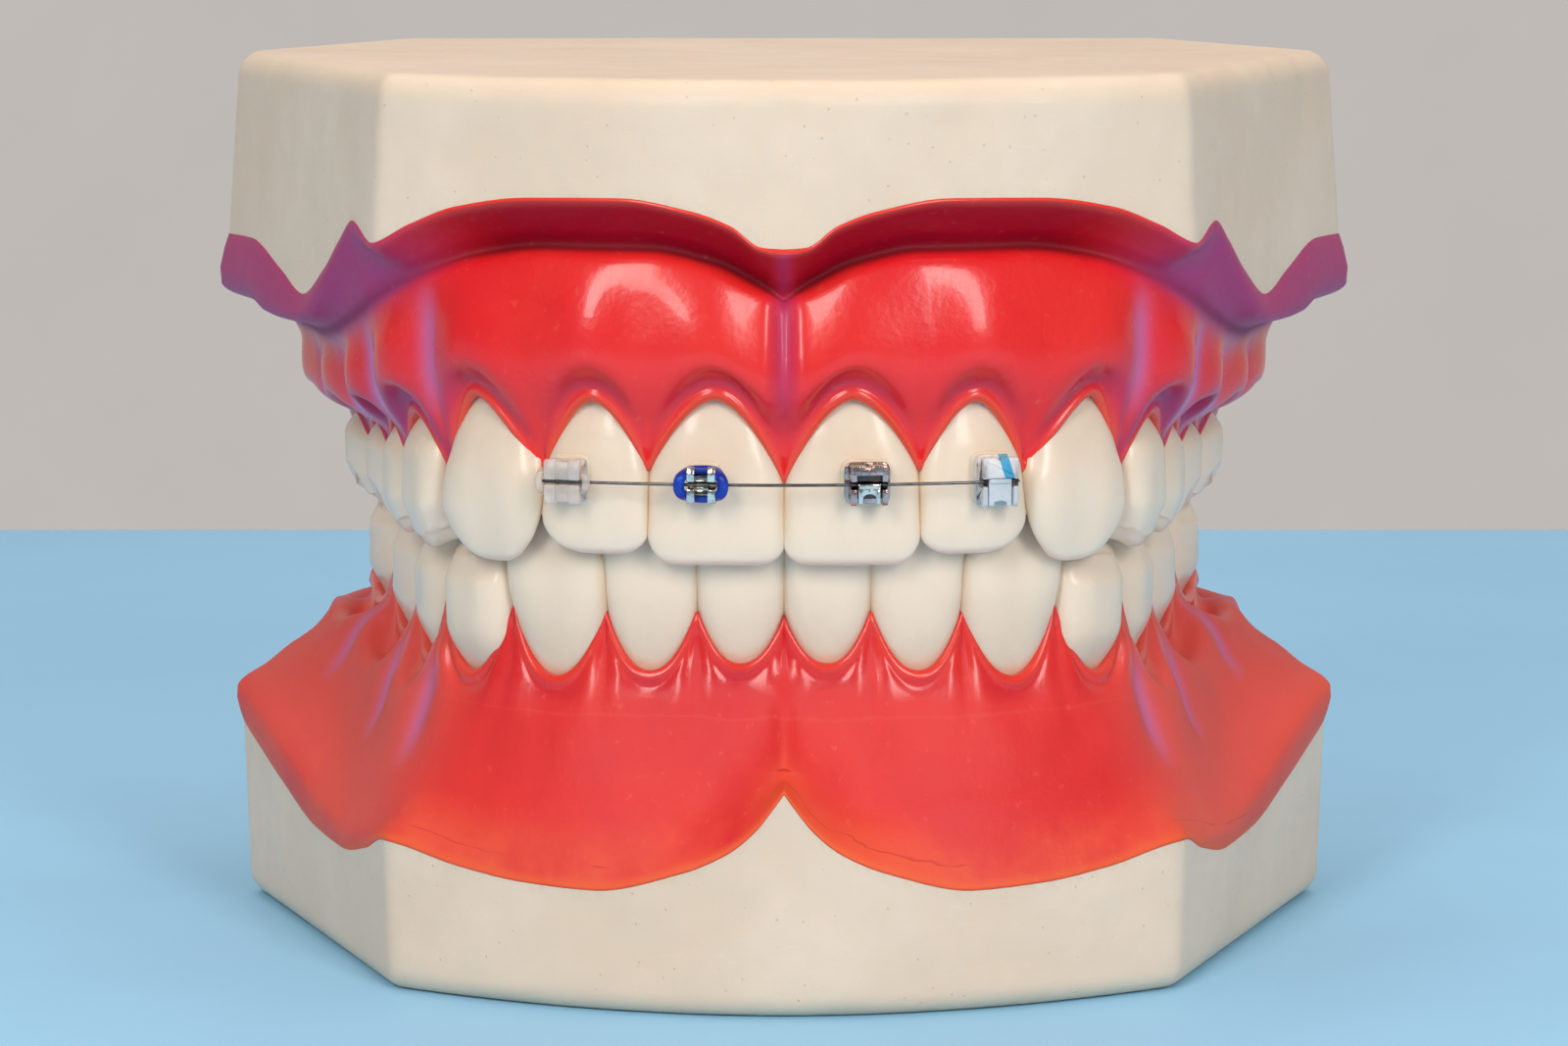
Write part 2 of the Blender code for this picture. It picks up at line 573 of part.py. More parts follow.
def make_base(jaw, arch, material, collection):
    s = gum_columns(arch)
    point, _, rim, along = jaw_frame(arch, s)
    ends = inner_ends(point)
    seam = seam_rows(jaw, rim, along, ends, 0.0)
    flat = TOTAL_HEIGHT if jaw == "upper" else 0.0
    into = -1.0 if jaw == "upper" else 1.0
    wall = [seam[0]]
    for turn in (0.0, 45.0, 90.0):
        angle = math.radians(turn)
        drop = EDGE_RADIUS * (1 - math.sin(angle))
        inset = EDGE_RADIUS * (1 - math.cos(angle))
        row = flared(rim, np.full(len(s), flat + into * drop), jaw)
        centre = np.array([0.0, BASE_DEPTH])
        reach = np.linalg.norm(row[:, :2] - centre, axis=1)
        row[:, :2] = centre + (row[:, :2] - centre) * (1 - inset / reach)[:, None]
        wall.append(row)
    wall.append(np.column_stack([ends, np.full(len(s), flat)]))
    top, skirt = np.stack(seam[::-1], 1), np.stack(wall, 1)
    loop = np.concatenate([top[0], skirt[0][1:], skirt[-1][-2::-1], top[-1][-2:0:-1]])
    mesh = close_mesh(jaw + "_base", [top, skirt], [loop])
    mesh.shade_smooth()
    mesh.set_sharp_from_angle(angle=math.radians(25))
    return make_object(jaw + "_base", mesh, material, collection)


def gum_rows(jaw, arch, s):
    """The gum's free surface across the arch: seam, hem, fold, bulge, margin, crest and tongue side."""
    point, outward, rim, along = jaw_frame(arch, s)
    ends = inner_ends(point)
    upper = jaw == "upper"
    down = 1.0 if upper else -1.0  # away from the teeth
    lift = -SEAM_GAP if upper else SEAM_GAP
    seam = seam_rows(jaw, rim, along, ends, lift)
    margin, near = margin_heights(jaw, arch, s)
    spread = np.linspace(-BULGE_SPREAD, BULGE_SPREAD, 9)
    smooth_margin = np.mean([margin_heights(jaw, arch, s + shift)[0] for shift in spread], axis=0)
    fold_out = smooth_curve(UPPER_FOLD_OUT if upper else LOWER_FOLD_OUT, along)
    fold_height = smooth_curve(UPPER_FOLD_HEIGHT if upper else LOWER_FOLD_HEIGHT, along)
    bulge_out = smooth_curve(UPPER_BULGE_OUT if upper else LOWER_BULGE_OUT, along)
    reach = np.einsum("ij,ij->i", seam[0][:, :2] - point, outward)
    fold_out = np.minimum(fold_out, FOLD_SHARE * reach)
    bulge_out = np.minimum(bulge_out, BULGE_SHARE * reach)
    depth = np.interp(np.abs(s), (arch.limits[:-1] + arch.limits[1:]) / 2, [t[6] for t in arch.teeth])
    back = -(depth + RIDGE_WALL)
    heel = np.clip((np.abs(s) - arch.limits[-1]) / (arch.length[-1] - arch.limits[-1]), 0, 1)
    crest = margin + down * HEEL_DROP * heel
    tongue_margin = (UPPER_TONGUE_MARGIN if upper else LOWER_TONGUE_MARGIN) + down * HEEL_DROP * heel

    lip_out = LIP_OUT - PAPILLA_DIP * near**2
    bulge_level = smooth_curve(BULGE_LEVEL, along)
    bulge_height = smooth_margin + (fold_height - smooth_margin) * bulge_level
    seam_height = seam[0][:, 2]
    hem_height = seam_height - down * np.minimum(
        smooth_curve(HEM_DROP, along), 0.5 * np.abs(seam_height - fold_height)
    )
    hem = flared(rim, hem_height, jaw)
    hem[:, :2] += outward * smooth_curve(HEM_OUT, along)[:, None]

    def at(out, height):
        return np.column_stack([point + outward * np.asarray(out)[:, None], height])

    rows = [seam[0], hem]
    rows.append(at(fold_out, fold_height))
    rows.append(at(bulge_out, bulge_height))
    rows.append(at(lip_out + ROLL_OUT - LIP_OUT, margin + down * ROLL_HEIGHT))
    rows.append(at(lip_out, crest + down * EDGE_DROP))
    rows.append(at(np.full(len(s), CREST_OUT), crest))
    rows.append(at(back + TONGUE_ROUND[0], tongue_margin))
    rows.append(at(back, tongue_margin + down * TONGUE_ROUND[1]))
    centre_height = PALATE_HEIGHT if upper else FLOOR_HEIGHT
    fullness = PALATE_FULLNESS if upper else FLOOR_FULLNESS
    inner = rows[-1]
    for share in (0.16, 0.45, 1.0):
        blend = math.sin(share * math.pi / 2) ** fullness
        plan = inner[:, :2] + (ends - inner[:, :2]) * share
        rows.append(np.column_stack([plan, inner[:, 2] + (centre_height - inner[:, 2]) * blend]))
    return rows, seam


def boolean(obj, operation, other=None, collection=None):
    modifier = obj.modifiers.new(operation.lower(), "BOOLEAN")
    modifier.operation = operation
    modifier.solver = "EXACT"
    if collection:
        modifier.operand_type = "COLLECTION"
        modifier.collection = collection
    else:
        modifier.object = other
    return modifier


def make_gum(jaw, arch, material, collection, sockets):
    rows, seam = gum_rows(jaw, arch, gum_columns(arch))
    free, under = np.stack(rows, 1), np.stack(seam[::-1], 1)
    loop = np.concatenate([free[0], free[-1][-2::-1], under[-1][-2::-1], under[0][1:-1]])
    mesh = close_mesh(jaw + "_gum", [free, under], [loop])
    shade(mesh)
    gum = make_object(jaw + "_gum", mesh, material, collection)
    boolean(gum, "DIFFERENCE", collection=sockets)
    return gum


def mesh_from_curve(curve, turn):
    """The curve's closed mesh, its caps welded on and its axes turned."""
    source = bpy.data.objects.new("outline", curve)
    bpy.context.scene.collection.objects.link(source)
    bpy.context.view_layer.update()
    mesh = bpy.data.meshes.new_from_object(source.evaluated_get(bpy.context.evaluated_depsgraph_get()))
    bpy.data.objects.remove(source, do_unlink=True)
    work = bmesh.new()
    work.from_mesh(mesh)
    bmesh.ops.remove_doubles(work, verts=work.verts, dist=1e-7)
    bmesh.ops.transform(work, matrix=turn, verts=work.verts)
    bmesh.ops.recalc_face_normals(work, faces=work.faces)
    work.to_mesh(mesh)
    work.free()
    return mesh


# Outlines are drawn flat and then stood up: across the bracket, facing the viewer, or seen from above
ACROSS = Matrix(((0, 0, 1, 0), (1, 0, 0, 0), (0, 1, 0, 0), (0, 0, 0, 1)))
FACING = Matrix(((1, 0, 0, 0), (0, 0, -1, 0), (0, 1, 0, 0), (0, 0, 0, 1)))
ABOVE = Matrix.Identity(4)


def plate(outline, start, end, turn):
    """A flat outline in millimetres, extruded from start to end square to its plane."""
    curve = bpy.data.curves.new("outline", "CURVE")
    curve.dimensions = "2D"
    curve.fill_mode = "BOTH"
    curve.extrude = (end - start) / 2 * MM
    spline = curve.splines.new("POLY")
    spline.points.add(len(outline) - 1)
    for point, (u, v) in zip(spline.points, outline):
        point.co = (u * MM, v * MM, 0, 1)
    spline.use_cyclic_u = True
    shift = Matrix.Translation((0, 0, (start + end) / 2 * MM))
    return mesh_from_curve(curve, turn @ shift)


def rounded_rectangle(width, height, radius, steps=3):
    """Corner arcs of a rectangle about the middle, counter-clockwise."""
    points = []
    for quarter, (sx, sz) in enumerate(((1, 1), (-1, 1), (-1, -1), (1, -1))):
        for step in range(steps + 1):
            angle = math.pi / 2 * (quarter + step / steps)
            x = sx * (width / 2 - radius) + radius * math.cos(angle)
            points.append((x, sz * (height / 2 - radius) + radius * math.sin(angle)))
    return points


def helper(name, mesh, frame, cutters):
    obj = make_object(name, mesh, None, cutters)
    obj.matrix_world = frame
    obj.hide_render = True
    obj.display_type = "WIRE"
    return obj


def bracket_place(size):
    """Sideways place of a bracket's middle."""
    middle = (UPPER_ARCH.limits[size["tooth"]] + UPPER_ARCH.limits[size["tooth"] + 1]) / 2
    return size["side"] * (middle + size["beyond"])


def wire_shape():
    """The wire is a parabola in plan, at its standoff where the central and lateral brackets are."""
    near, far = (abs(bracket_place(size)) for size in (STEEL_TWIN, CLEAR_TWIN))
    line = UPPER_ARCH.line
    start, end = (float(np.interp(x, line[:, 0], line[:, 1])) - WIRE_STANDOFF for x in (near, far))
    bend = (end - start) / (far * far - near * near)
    return start - bend * near * near, bend


WIRE_FRONT, WIRE_BEND = wire_shape()


def wire_setback(x):
    return WIRE_FRONT + WIRE_BEND * x * x


def bracket_frame(size):
    """Slot centre on the wire: x along the wire, y back towards the tooth, z up."""
    x = bracket_place(size)
    slope = 2 * WIRE_BEND * x
    along = Vector((1, slope, 0)).normalized()
    back = Vector((-slope, 1, 0)).normalized()
    place = metres([x, wire_setback(x), WIRE_HEIGHT])
    return Matrix((
        (along.x, back.x, 0, place[0]), (along.y, back.y, 0, place[1]), (0, 0, 1, place[2]), (0, 0, 0, 1),
    ))


def wing_outline(size):
    """Section from top to bottom: pad, waist, tie wing and one side of the slot, then mirrored."""
    half, stem, front = size["height"] / 2, size["stem"], size["front"]
    pad_front = PAD_BACK - PAD_THICKNESS
    under, start, end = WING_TIP
    lean, first, second, third = WING_ROUND
    upper = [
        (PAD_BACK, half - PAD_INSET), (pad_front, half - PAD_INSET), (pad_front - PAD_SLOPE, stem),
        (WING_ROOT, stem), (-under, half - first), (-start, half), (-end, half),
        (-front + lean, half - second), (-front, half - third),
        (-front, SLOT_HEIGHT / 2), (SLOT_FLOOR, SLOT_HEIGHT / 2),
    ]
    return upper + [(y, -z) for y, z in reversed(upper)]


def make_twin(name, size, material, collection, cutters):
    """A bracket with four tie wings: one extruded section with a channel cut down its middle."""
    frame = bracket_frame(size)
    section = plate(wing_outline(size), -size["width"] / 2, size["width"] / 2, ACROSS)
    body = make_object(name, section, material, collection)
    body.matrix_world = frame
    mouth = size["width"] / 2 - size["wing"]
    foot = mouth * CHANNEL_TAPER
    ahead = -size["front"] - CUTTER_REACH
    channel = [(-mouth, ahead), (mouth, ahead), (foot, CHANNEL_DEPTH), (-foot, CHANNEL_DEPTH)]
    cut = plate(channel, -size["height"], size["height"], ABOVE)
    boolean(body, "DIFFERENCE", helper(name + "_channel", cut, frame, cutters))
    return body


def make_slider(name, size, material, collection, cutters):
    """A self-ligating bracket: pad, winged body and a dovetail channel for its door."""
    frame = bracket_frame(size)
    section = plate(wing_outline(size), -size["width"] / 2, size["width"] / 2, ACROSS)
    body = make_object(name, section, material, collection)
    body.matrix_world = frame
    pad = rounded_rectangle(size["pad"], size["height"] + 2 * PAD_OVERHANG, PAD_CORNER)
    pad = plate(pad, -PAD_BACK, -(PAD_BACK - PAD_THICKNESS + PAD_SINK), FACING)
    boolean(body, "UNION", helper(name + "_pad", pad, frame, cutters))
    grown = size["door"] / 2 + DOOR_CLEARANCE
    reach = size["front"] + DOOR_BACK + CUTTER_REACH
    slope = DOOR_TAPER / (size["front"] + DOOR_BACK)
    channel = [
        (-grown, DOOR_BACK), (-grown + slope * reach, DOOR_BACK - reach),
        (grown - slope * reach, DOOR_BACK - reach), (grown, DOOR_BACK),
    ]
    cut = plate(channel, -size["height"], DOOR_TOP + DOOR_CLEARANCE, ABOVE)
    boolean(body, "DIFFERENCE", helper(name + "_channel", cut, frame, cutters))
    return body


def make_door(name, size, material, collection, cutters):
    """The sliding door: a dovetail plate with an arched notch at its foot."""
    frame = bracket_frame(size)
    half, front = size["door"] / 2, DOOR_RECESS - size["front"]
    rear = DOOR_BACK - DOOR_CLEARANCE
    outline = [(-half, rear), (-half + DOOR_TAPER, front), (half - DOOR_TAPER, front), (half, rear)]
    foot = DOOR_FOOT - size["height"] / 2
    door = make_object(name, plate(outline, foot, DOOR_TOP, ABOVE), material, collection)
    door.matrix_world = frame
    below = foot - CUTTER_REACH
    spring = foot + NOTCH_RISE
    notch = [(-NOTCH_HALF_WIDTH, below), (NOTCH_HALF_WIDTH, below)]
    for step in range(NOTCH_STEPS + 1):
        angle = math.pi * step / NOTCH_STEPS
        notch.append((NOTCH_HALF_WIDTH * math.cos(angle), spring + NOTCH_RISE * math.sin(angle)))
    cut = plate(notch, -rear - CUTTER_REACH, CUTTER_REACH - front, FACING)
    boolean(door, "DIFFERENCE", helper(name + "_notch", cut, frame, cutters))
    return door


def curve_object(name, points, radius, closed, material, collection, frame=None):
    curve = bpy.data.curves.new(name, "CURVE")
    curve.dimensions = "3D"
    curve.bevel_depth = radius * MM
    curve.bevel_resolution = 2
    curve.use_fill_caps = not closed
    spline = curve.splines.new("POLY")
    spline.points.add(len(points) - 1)
    for point, place in zip(spline.points, points):
        point.co = (*place, 1)
    spline.use_cyclic_u = closed
    spline.use_smooth = True
    obj = bpy.data.objects.new(name, curve)
    collection.objects.link(obj)
    curve.materials.append(material)
    if frame:
        obj.matrix_world = frame
    return obj


def make_wire(material, collection):
    left = bracket_place(CLEAR_TWIN) - WIRE_LEFT_REACH
    right = bracket_place(CLEAR_SLIDER) + WIRE_RIGHT_REACH
    x = np.linspace(left, right, WIRE_POINTS)
    points = metres(np.column_stack([x, wire_setback(x), np.full(len(x), WIRE_HEIGHT)]))
    return curve_object("archwire", points, WIRE_DIAMETER / 2, False, material, collection)


def make_ring(name, size, material, collection):
    """An elastic ring: under the tie wings above and below, and over the wire at each side."""
    radius = size["ring"] / 2
    half_width = size["width"] / 2
    reach = half_width + RING_SIDE_GAP + radius
    rise = size["stem"] + WING_CLEARANCE + radius
    behind = WING_ROOT + WING_CLEARANCE + radius
    ahead = -(WIRE_DIAMETER / 2 + WING_CLEARANCE + radius)
    points = []
    for step in range(RING_STEPS):
        angle = 2 * math.pi * step / RING_STEPS
        x = reach * math.copysign(abs(math.cos(angle)) ** RING_SQUARENESS, math.cos(angle))
        z = rise * math.copysign(abs(math.sin(angle)) ** RING_SQUARENESS, math.sin(angle))
        over = min(max((abs(x) - half_width) / (reach - half_width), 0), 1)
        points.append((x * MM, (behind + (ahead - behind) * over) * MM, z * MM))
    return curve_object(name, points, radius, True, material, collection, bracket_frame(size))


def make_glue(name, size, material, collection, cutters):
    """Adhesive between a bracket's pad and its tooth, its rear face following the tooth."""
    frame = bracket_frame(size)
    width = size.get("pad", size["width"]) + 2 * PAD_MARGIN
    outline = rounded_rectangle(width, size["height"] + 2 * PAD_MARGIN, GLUE_CORNER)
    block = plate(outline, -(PAD_BACK + GLUE_DEPTH), -(PAD_BACK + GLUE_GAP), FACING)
    glue = make_object(name, block, material, collection)
    glue.matrix_world = frame
    rings = tooth_rings("upper", size["tooth"], size["side"], GLUE_GAP, GLUE_GAP)
    grown = make_tooth(name + "_tooth", rings, None, cutters)
    grown.hide_render = True
    grown.display_type = "WIRE"
    boolean(glue, "DIFFERENCE", grown)
    return glue


def build():
    clear_scene()
    parts = new_collection("fixed_braces_model")
    cutters = new_collection("cutters")
    base = new_material("base_resin", (0.80, 0.72, 0.60), 0.45)
    gum = new_material("gum_resin", (0.72, 0.03, 0.03), 0.2)
    enamel = new_material("tooth_resin", (0.83, 0.76, 0.65), 0.3)
    steel = new_material("bracket_steel", (0.62, 0.62, 0.64), 0.22, 1.0)
    wire = new_material("wire_steel", (0.5, 0.5, 0.5), 0.25, 1.0)
    ceramic = new_material("clear_ceramic", (0.85, 0.83, 0.82), 0.15, 0.0, 0.5)
    milky = new_material("milky_ceramic", (0.72, 0.76, 0.80), 0.25, 0.0, 0.8)
    blue = new_material("blue_elastic", (0.0, 0.01, 0.38), 0.3)
    clear = new_material("clear_elastic", (0.8, 0.8, 0.8), 0.25, 0.0, 0.4)
    adhesive = new_material("adhesive", (0.78, 0.70, 0.55), 0.4)

    for jaw, arch in (("upper", UPPER_ARCH), ("lower", LOWER_ARCH)):
        make_base(jaw, arch, base, parts)
        sockets = new_collection(jaw + "_sockets")
        for side, word in ((-1, "left"), (1, "right")):
            for index, tooth in enumerate(arch.teeth):
                name = "_".join((jaw, word, tooth[0]))
                make_tooth(name, tooth_rings(jaw, index, side), enamel, parts)
                rings = tooth_rings(jaw, index, side, SOCKET_CLEARANCE, SOCKET_CLEARANCE)
                socket = make_tooth(name + "_socket", rings, None, sockets)
                socket.hide_render = True
                socket.display_type = "WIRE"
        make_gum(jaw, arch, gum, parts, sockets)

    make_twin("clear_bracket", CLEAR_TWIN, ceramic, parts, cutters)
    make_twin("steel_bracket", STEEL_TWIN, steel, parts, cutters)
    make_slider("steel_slider_bracket", STEEL_SLIDER, steel, parts, cutters)
    make_slider("clear_slider_bracket", CLEAR_SLIDER, ceramic, parts, cutters)
    make_door("steel_door", STEEL_SLIDER, steel, parts, cutters)
    make_door("clear_door", CLEAR_SLIDER, milky, parts, cutters)
    make_ring("clear_ring", CLEAR_TWIN, clear, parts)
    make_ring("blue_ring", STEEL_TWIN, blue, parts)
    make_wire(wire, parts)
    make_glue("clear_bracket_adhesive", CLEAR_TWIN, adhesive, parts, cutters)
    make_glue("steel_bracket_adhesive", STEEL_TWIN, adhesive, parts, cutters)
    make_glue("steel_slider_adhesive", STEEL_SLIDER, adhesive, parts, cutters)
    make_glue("clear_slider_adhesive", CLEAR_SLIDER, adhesive, parts, cutters)


build()
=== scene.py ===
import math

import bmesh
import bpy
import numpy as np
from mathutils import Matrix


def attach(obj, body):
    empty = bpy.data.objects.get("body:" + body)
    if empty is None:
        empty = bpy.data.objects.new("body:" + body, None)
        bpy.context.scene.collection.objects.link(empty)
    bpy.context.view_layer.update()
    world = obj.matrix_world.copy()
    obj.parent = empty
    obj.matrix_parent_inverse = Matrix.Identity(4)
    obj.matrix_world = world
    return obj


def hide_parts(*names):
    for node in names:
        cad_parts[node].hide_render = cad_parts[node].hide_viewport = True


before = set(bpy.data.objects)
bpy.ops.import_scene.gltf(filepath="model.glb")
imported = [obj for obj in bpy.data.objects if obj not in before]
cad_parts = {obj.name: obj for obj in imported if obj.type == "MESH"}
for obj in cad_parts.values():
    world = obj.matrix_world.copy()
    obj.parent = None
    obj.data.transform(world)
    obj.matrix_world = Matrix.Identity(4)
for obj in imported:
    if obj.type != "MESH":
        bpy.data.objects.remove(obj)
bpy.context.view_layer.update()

print("frame loaded:", len(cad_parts), "nodes")

# A demonstration model of both jaws, with four kinds of bracket on one round wire. Every piece is a
# surface in millimetres that stands for one CAD node; makePiece turns it into a mesh in metres

mm = 0.001
scene = bpy.context.scene


# Curves and meshes

def cubic(t, span, start, startSlope, end, endSlope):
    # from start to end as t goes from 0 to 1, with the given slopes over the span at both ends
    return ((1 + 2 * t) * (1 - t) ** 2 * start + t * (1 - t) ** 2 * span * startSlope
            + t * t * (3 - 2 * t) * end + t * t * (t - 1) * span * endSlope)


def smoothCurve(points, where):
    # cubic through the points; each slope is the harmonic mean of the steps beside it, or level
    x, y = np.array(points, float).T
    steps = np.diff(y) / np.diff(x)
    slopes = np.zeros(len(x))
    inner = steps[:-1] * steps[1:]
    same = inner > 0
    slopes[1:-1][same] = 2 * inner[same] / (steps[:-1] + steps[1:])[same]
    slopes[[0, -1]] = steps[[0, -1]]
    where = np.clip(where, x[0], x[-1])
    i = np.clip(np.searchsorted(x, where) - 1, 0, len(x) - 2)
    span = x[i + 1] - x[i]
    return cubic((where - x[i]) / span, span, y[i], slopes[i], y[i + 1], slopes[i + 1])


def ramp(value, start, end):
    # 0 before start and 1 after end, with a smooth step between
    t = np.clip((value - start) / (end - start), 0, 1)
    return t * t * (3 - 2 * t)


def hump(value, middle, width):
    # 1 at the middle, falling off as a bell curve
    return np.exp(-((value - middle) / width) ** 2)


def lengthsAlong(line):
    # distance along a line from its start to each of its points
    return np.concatenate([[0], np.cumsum(np.hypot(*np.diff(line, axis=0).T))])


def throughRows(rows, counts):
    # a smooth curve down each column through its own points: every point's slope is the mean of
    # the chords beside it, weighted by their lengths, and the steps are spaced by count
    p = np.stack(rows, 1)
    chord = np.maximum(np.linalg.norm(np.diff(p, axis=1), axis=2, keepdims=True), 1e-6) ** 0.5
    step = np.diff(p, axis=1) / chord
    slope = np.empty_like(p)
    slope[:, 1:-1] = (step[:, :-1] * chord[:, 1:] + step[:, 1:] * chord[:, :-1]) / (chord[:, :-1] + chord[:, 1:])
    slope[:, 0], slope[:, -1] = step[:, 0], step[:, -1]
    parts = []
    for k, count in enumerate(counts):
        t = np.linspace(0, 1, count, endpoint=k == len(counts) - 1)[None, :, None]
        parts.append(cubic(t, chord[:, k, None], p[:, k, None], slope[:, k, None],
                           p[:, k + 1, None], slope[:, k + 1, None]))
    return np.concatenate(parts, 1)


def gridFaces(columns, rows, start=0, wrap=False):
    # quads between neighbouring columns and rows of points that run row by row within a column
    i = np.arange(columns if wrap else columns - 1)[:, None]
    j = np.arange(rows - 1)[None, :]
    a = i * rows + j
    b = (i + 1) % columns * rows + j
    return (np.stack([a, b, b + 1, a + 1], -1) + start).reshape(-1, 4).tolist()


def makePiece(node, shape, finish, sharp=40.0, body="model"):
    # shape: grids of (points, wrap, {attribute: values}) and flat caps, in millimetres. The piece
    # stands for one CAD node; sharp is the angle from which an edge stays crisp
    name = "fine_" + node
    verts, faces, values, start = [], [], {}, 0
    for points, wrap, marks in shape["grids"]:
        columns, rows = points.shape[:2]
        faces += gridFaces(columns, rows, start, wrap)
        verts.append(points.reshape(-1, 3))
        for key, mark in marks.items():
            values.setdefault(key, []).append((start, np.broadcast_to(mark, points.shape[:2]).reshape(-1)))
        start += columns * rows
    for loop in shape.get("caps", ()):
        verts.append(np.asarray(loop))
        faces.append(list(range(start, start + len(loop))))
        start += len(loop)
    points = np.concatenate(verts)
    points = (points - (0, base["depth"] / 2, 0)) * mm
    mesh = bpy.data.meshes.new(name)
    mesh.from_pydata(points.tolist(), [], faces)
    for key, marks in values.items():
        whole = np.zeros(len(points), np.float32)
        for first, mark in marks:
            whole[first:first + len(mark)] = mark
        mesh.attributes.new(key, "FLOAT", "POINT").data.foreach_set("value", whole)
    work = bmesh.new()
    work.from_mesh(mesh)
    bmesh.ops.remove_doubles(work, verts=work.verts, dist=1e-7)
    bmesh.ops.dissolve_degenerate(work, edges=work.edges, dist=1e-9)
    bmesh.ops.recalc_face_normals(work, faces=work.faces)
    work.to_mesh(mesh)
    work.free()
    mesh.shade_smooth()
    mesh.set_sharp_from_angle(angle=math.radians(sharp))
    mesh.materials.append(finish)
    piece = bpy.data.objects.new(name, mesh)
    scene.collection.objects.link(piece)
    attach(piece, body)
    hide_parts(node)


# Bases: sizes in millimetres, and seams as distance along the outline and height

base = {
    "height": 58.0, "depth": 57.0, "frontHalfWidth": 25.0, "cornerSetback": 8.0, "frontPower": 1.9,
    "wideHalfWidth": 36.9, "wideSetback": 38.0, "backHalfWidth": 28.0, "cornerRounding": 2.4,
    "edgeRadius": 1.6, "upperFlare": 0.0020, "lowerFlare": 0.0009, "fanCentre": 34.0,
    "upperSeamCentre": 52.5, "lowerSeamCentre": 8.5, "creaseDepth": 0.25,
    "upperSeam": (
        (0.0, 47.8), (1.3, 47.9), (3.2, 49.2), (5.7, 50.1), (10.0, 50.8), (16.0, 50.7),
        (20.8, 50.0), (24.0, 48.8), (27.0, 47.5), (31.0, 48.6), (33.5, 47.2), (36.5, 45.1),
        (41.0, 43.1), (46.0, 44.3), (53.0, 45.8), (58.0, 45.7), (80.0, 45.0)),
    "lowerSeam": (
        (0.0, 14.2), (0.7, 13.2), (1.8, 11.8), (3.5, 10.4), (6.4, 9.1), (12.0, 7.8), (16.6, 8.0),
        (21.0, 8.6), (26.8, 9.7), (30.6, 8.5), (36.0, 7.5), (42.0, 7.8), (49.0, 9.4), (57.0, 11.7),
        (60.0, 12.6), (80.0, 13.0)),
}


# Finishes

class Wire:  # a node's output, with maths written as Python
    def __init__(self, nodes, socket):
        self.nodes, self.socket = nodes, socket

    def calc(self, operation, *values):
        return self.nodes.node("ShaderNodeMath", {"operation": operation}, dict(enumerate(values)))

    def __add__(self, other):
        return self.calc("ADD", self, other)

    def __sub__(self, other):
        return self.calc("SUBTRACT", self, other)

    def __rsub__(self, other):
        return self.calc("SUBTRACT", other, self)

    def __mul__(self, other):
        return self.calc("MULTIPLY", self, other)

    __radd__, __rmul__ = __add__, __mul__

    def absolute(self):
        return self.calc("ABSOLUTE", self)

    def between(self, low, high):  # 0 at low and 1 at high, smooth between
        settings = {"interpolation_type": "SMOOTHSTEP"}
        return self.nodes.node("ShaderNodeMapRange", settings, {"Value": self, "From Min": low, "From Max": high})


class Nodes:  # a node tree, and the one method that adds a node to it
    def __init__(self, tree):
        self.tree = tree

    def feed(self, socket, value):
        if isinstance(value, Wire):
            self.tree.links.new(value.socket, socket)
        else:
            socket.default_value = (*value, 1) if socket.type == "RGBA" else value

    def node(self, kind, settings, inputs, output=0):
        made = self.tree.nodes.new(kind)
        for key, value in settings.items():
            setattr(made, key, value)
        for key, value in inputs.items():
            self.feed(made.inputs[key], value)
        return Wire(self, made.outputs[output])

    def mix(self, factor, a, b):
        return self.node("ShaderNodeMix", {"data_type": "RGBA"}, {"Factor": factor, 6: a, 7: b}, 2)


class Finish(Nodes):  # a material whose patterns read Object coordinates and the piece's attributes
    def __init__(self, name, **constants):
        self.material = bpy.data.materials.new(name)
        self.material.use_nodes = True
        super().__init__(self.material.node_tree)
        self.shader = self.tree.nodes["Principled BSDF"]
        self.set(**constants)
        self.place = self.node("ShaderNodeTexCoord", {}, {}, "Object")

    def set(self, **values):  # sockets by their names, with the spaces left out
        names = {socket.name.replace(" ", ""): socket for socket in self.shader.inputs}
        for key, value in values.items():
            self.feed(names[key], value)

    def axis(self, name):
        return self.node("ShaderNodeSeparateXYZ", {}, {"Vector": self.place}, name)

    def stretched(self, scale):
        return self.node("ShaderNodeMapping", {}, {"Vector": self.place, "Scale": scale})

    def noise(self, perMm, detail=3.0, roughness=0.55, distortion=0.0, scale=(1, 1, 1)):
        return self.node("ShaderNodeTexNoise", {}, {
            "Vector": self.stretched(scale), "Scale": perMm * 1000, "Detail": detail,
            "Roughness": roughness, "Distortion": distortion})

    def cells(self, perMm):
        return self.node("ShaderNodeTexVoronoi", {}, {"Vector": self.place, "Scale": perMm * 1000}, "Distance")

    def mark(self, name):
        return self.node("ShaderNodeAttribute", {"attribute_name": name}, {}, "Fac")

    def layers(self, colour, *coats):  # each coat: where it lies, and its colour
        for factor, tone in coats:
            colour = self.mix(factor, colour, tone)
        return colour

    def bump(self, height, millimetres, under=None):
        inputs = {"Height": height, "Distance": millimetres * mm, "Strength": 1.0}
        if under:
            inputs["Normal"] = under
        return self.node("ShaderNodeBump", {}, inputs)


mouldHeight = 18.4  # of the faint line on the lower gum
headMark = {  # the milky foot ends at top; the mark slants through across at that height, to the front of behind
    "top": 33.1, "colour": (0.60, 0.64, 0.69), "across": 14.0, "height": 33.2, "slant": 0.315,
    "half": 0.28, "behind": -24.3, "mark": (0.0, 0.38, 0.66)}


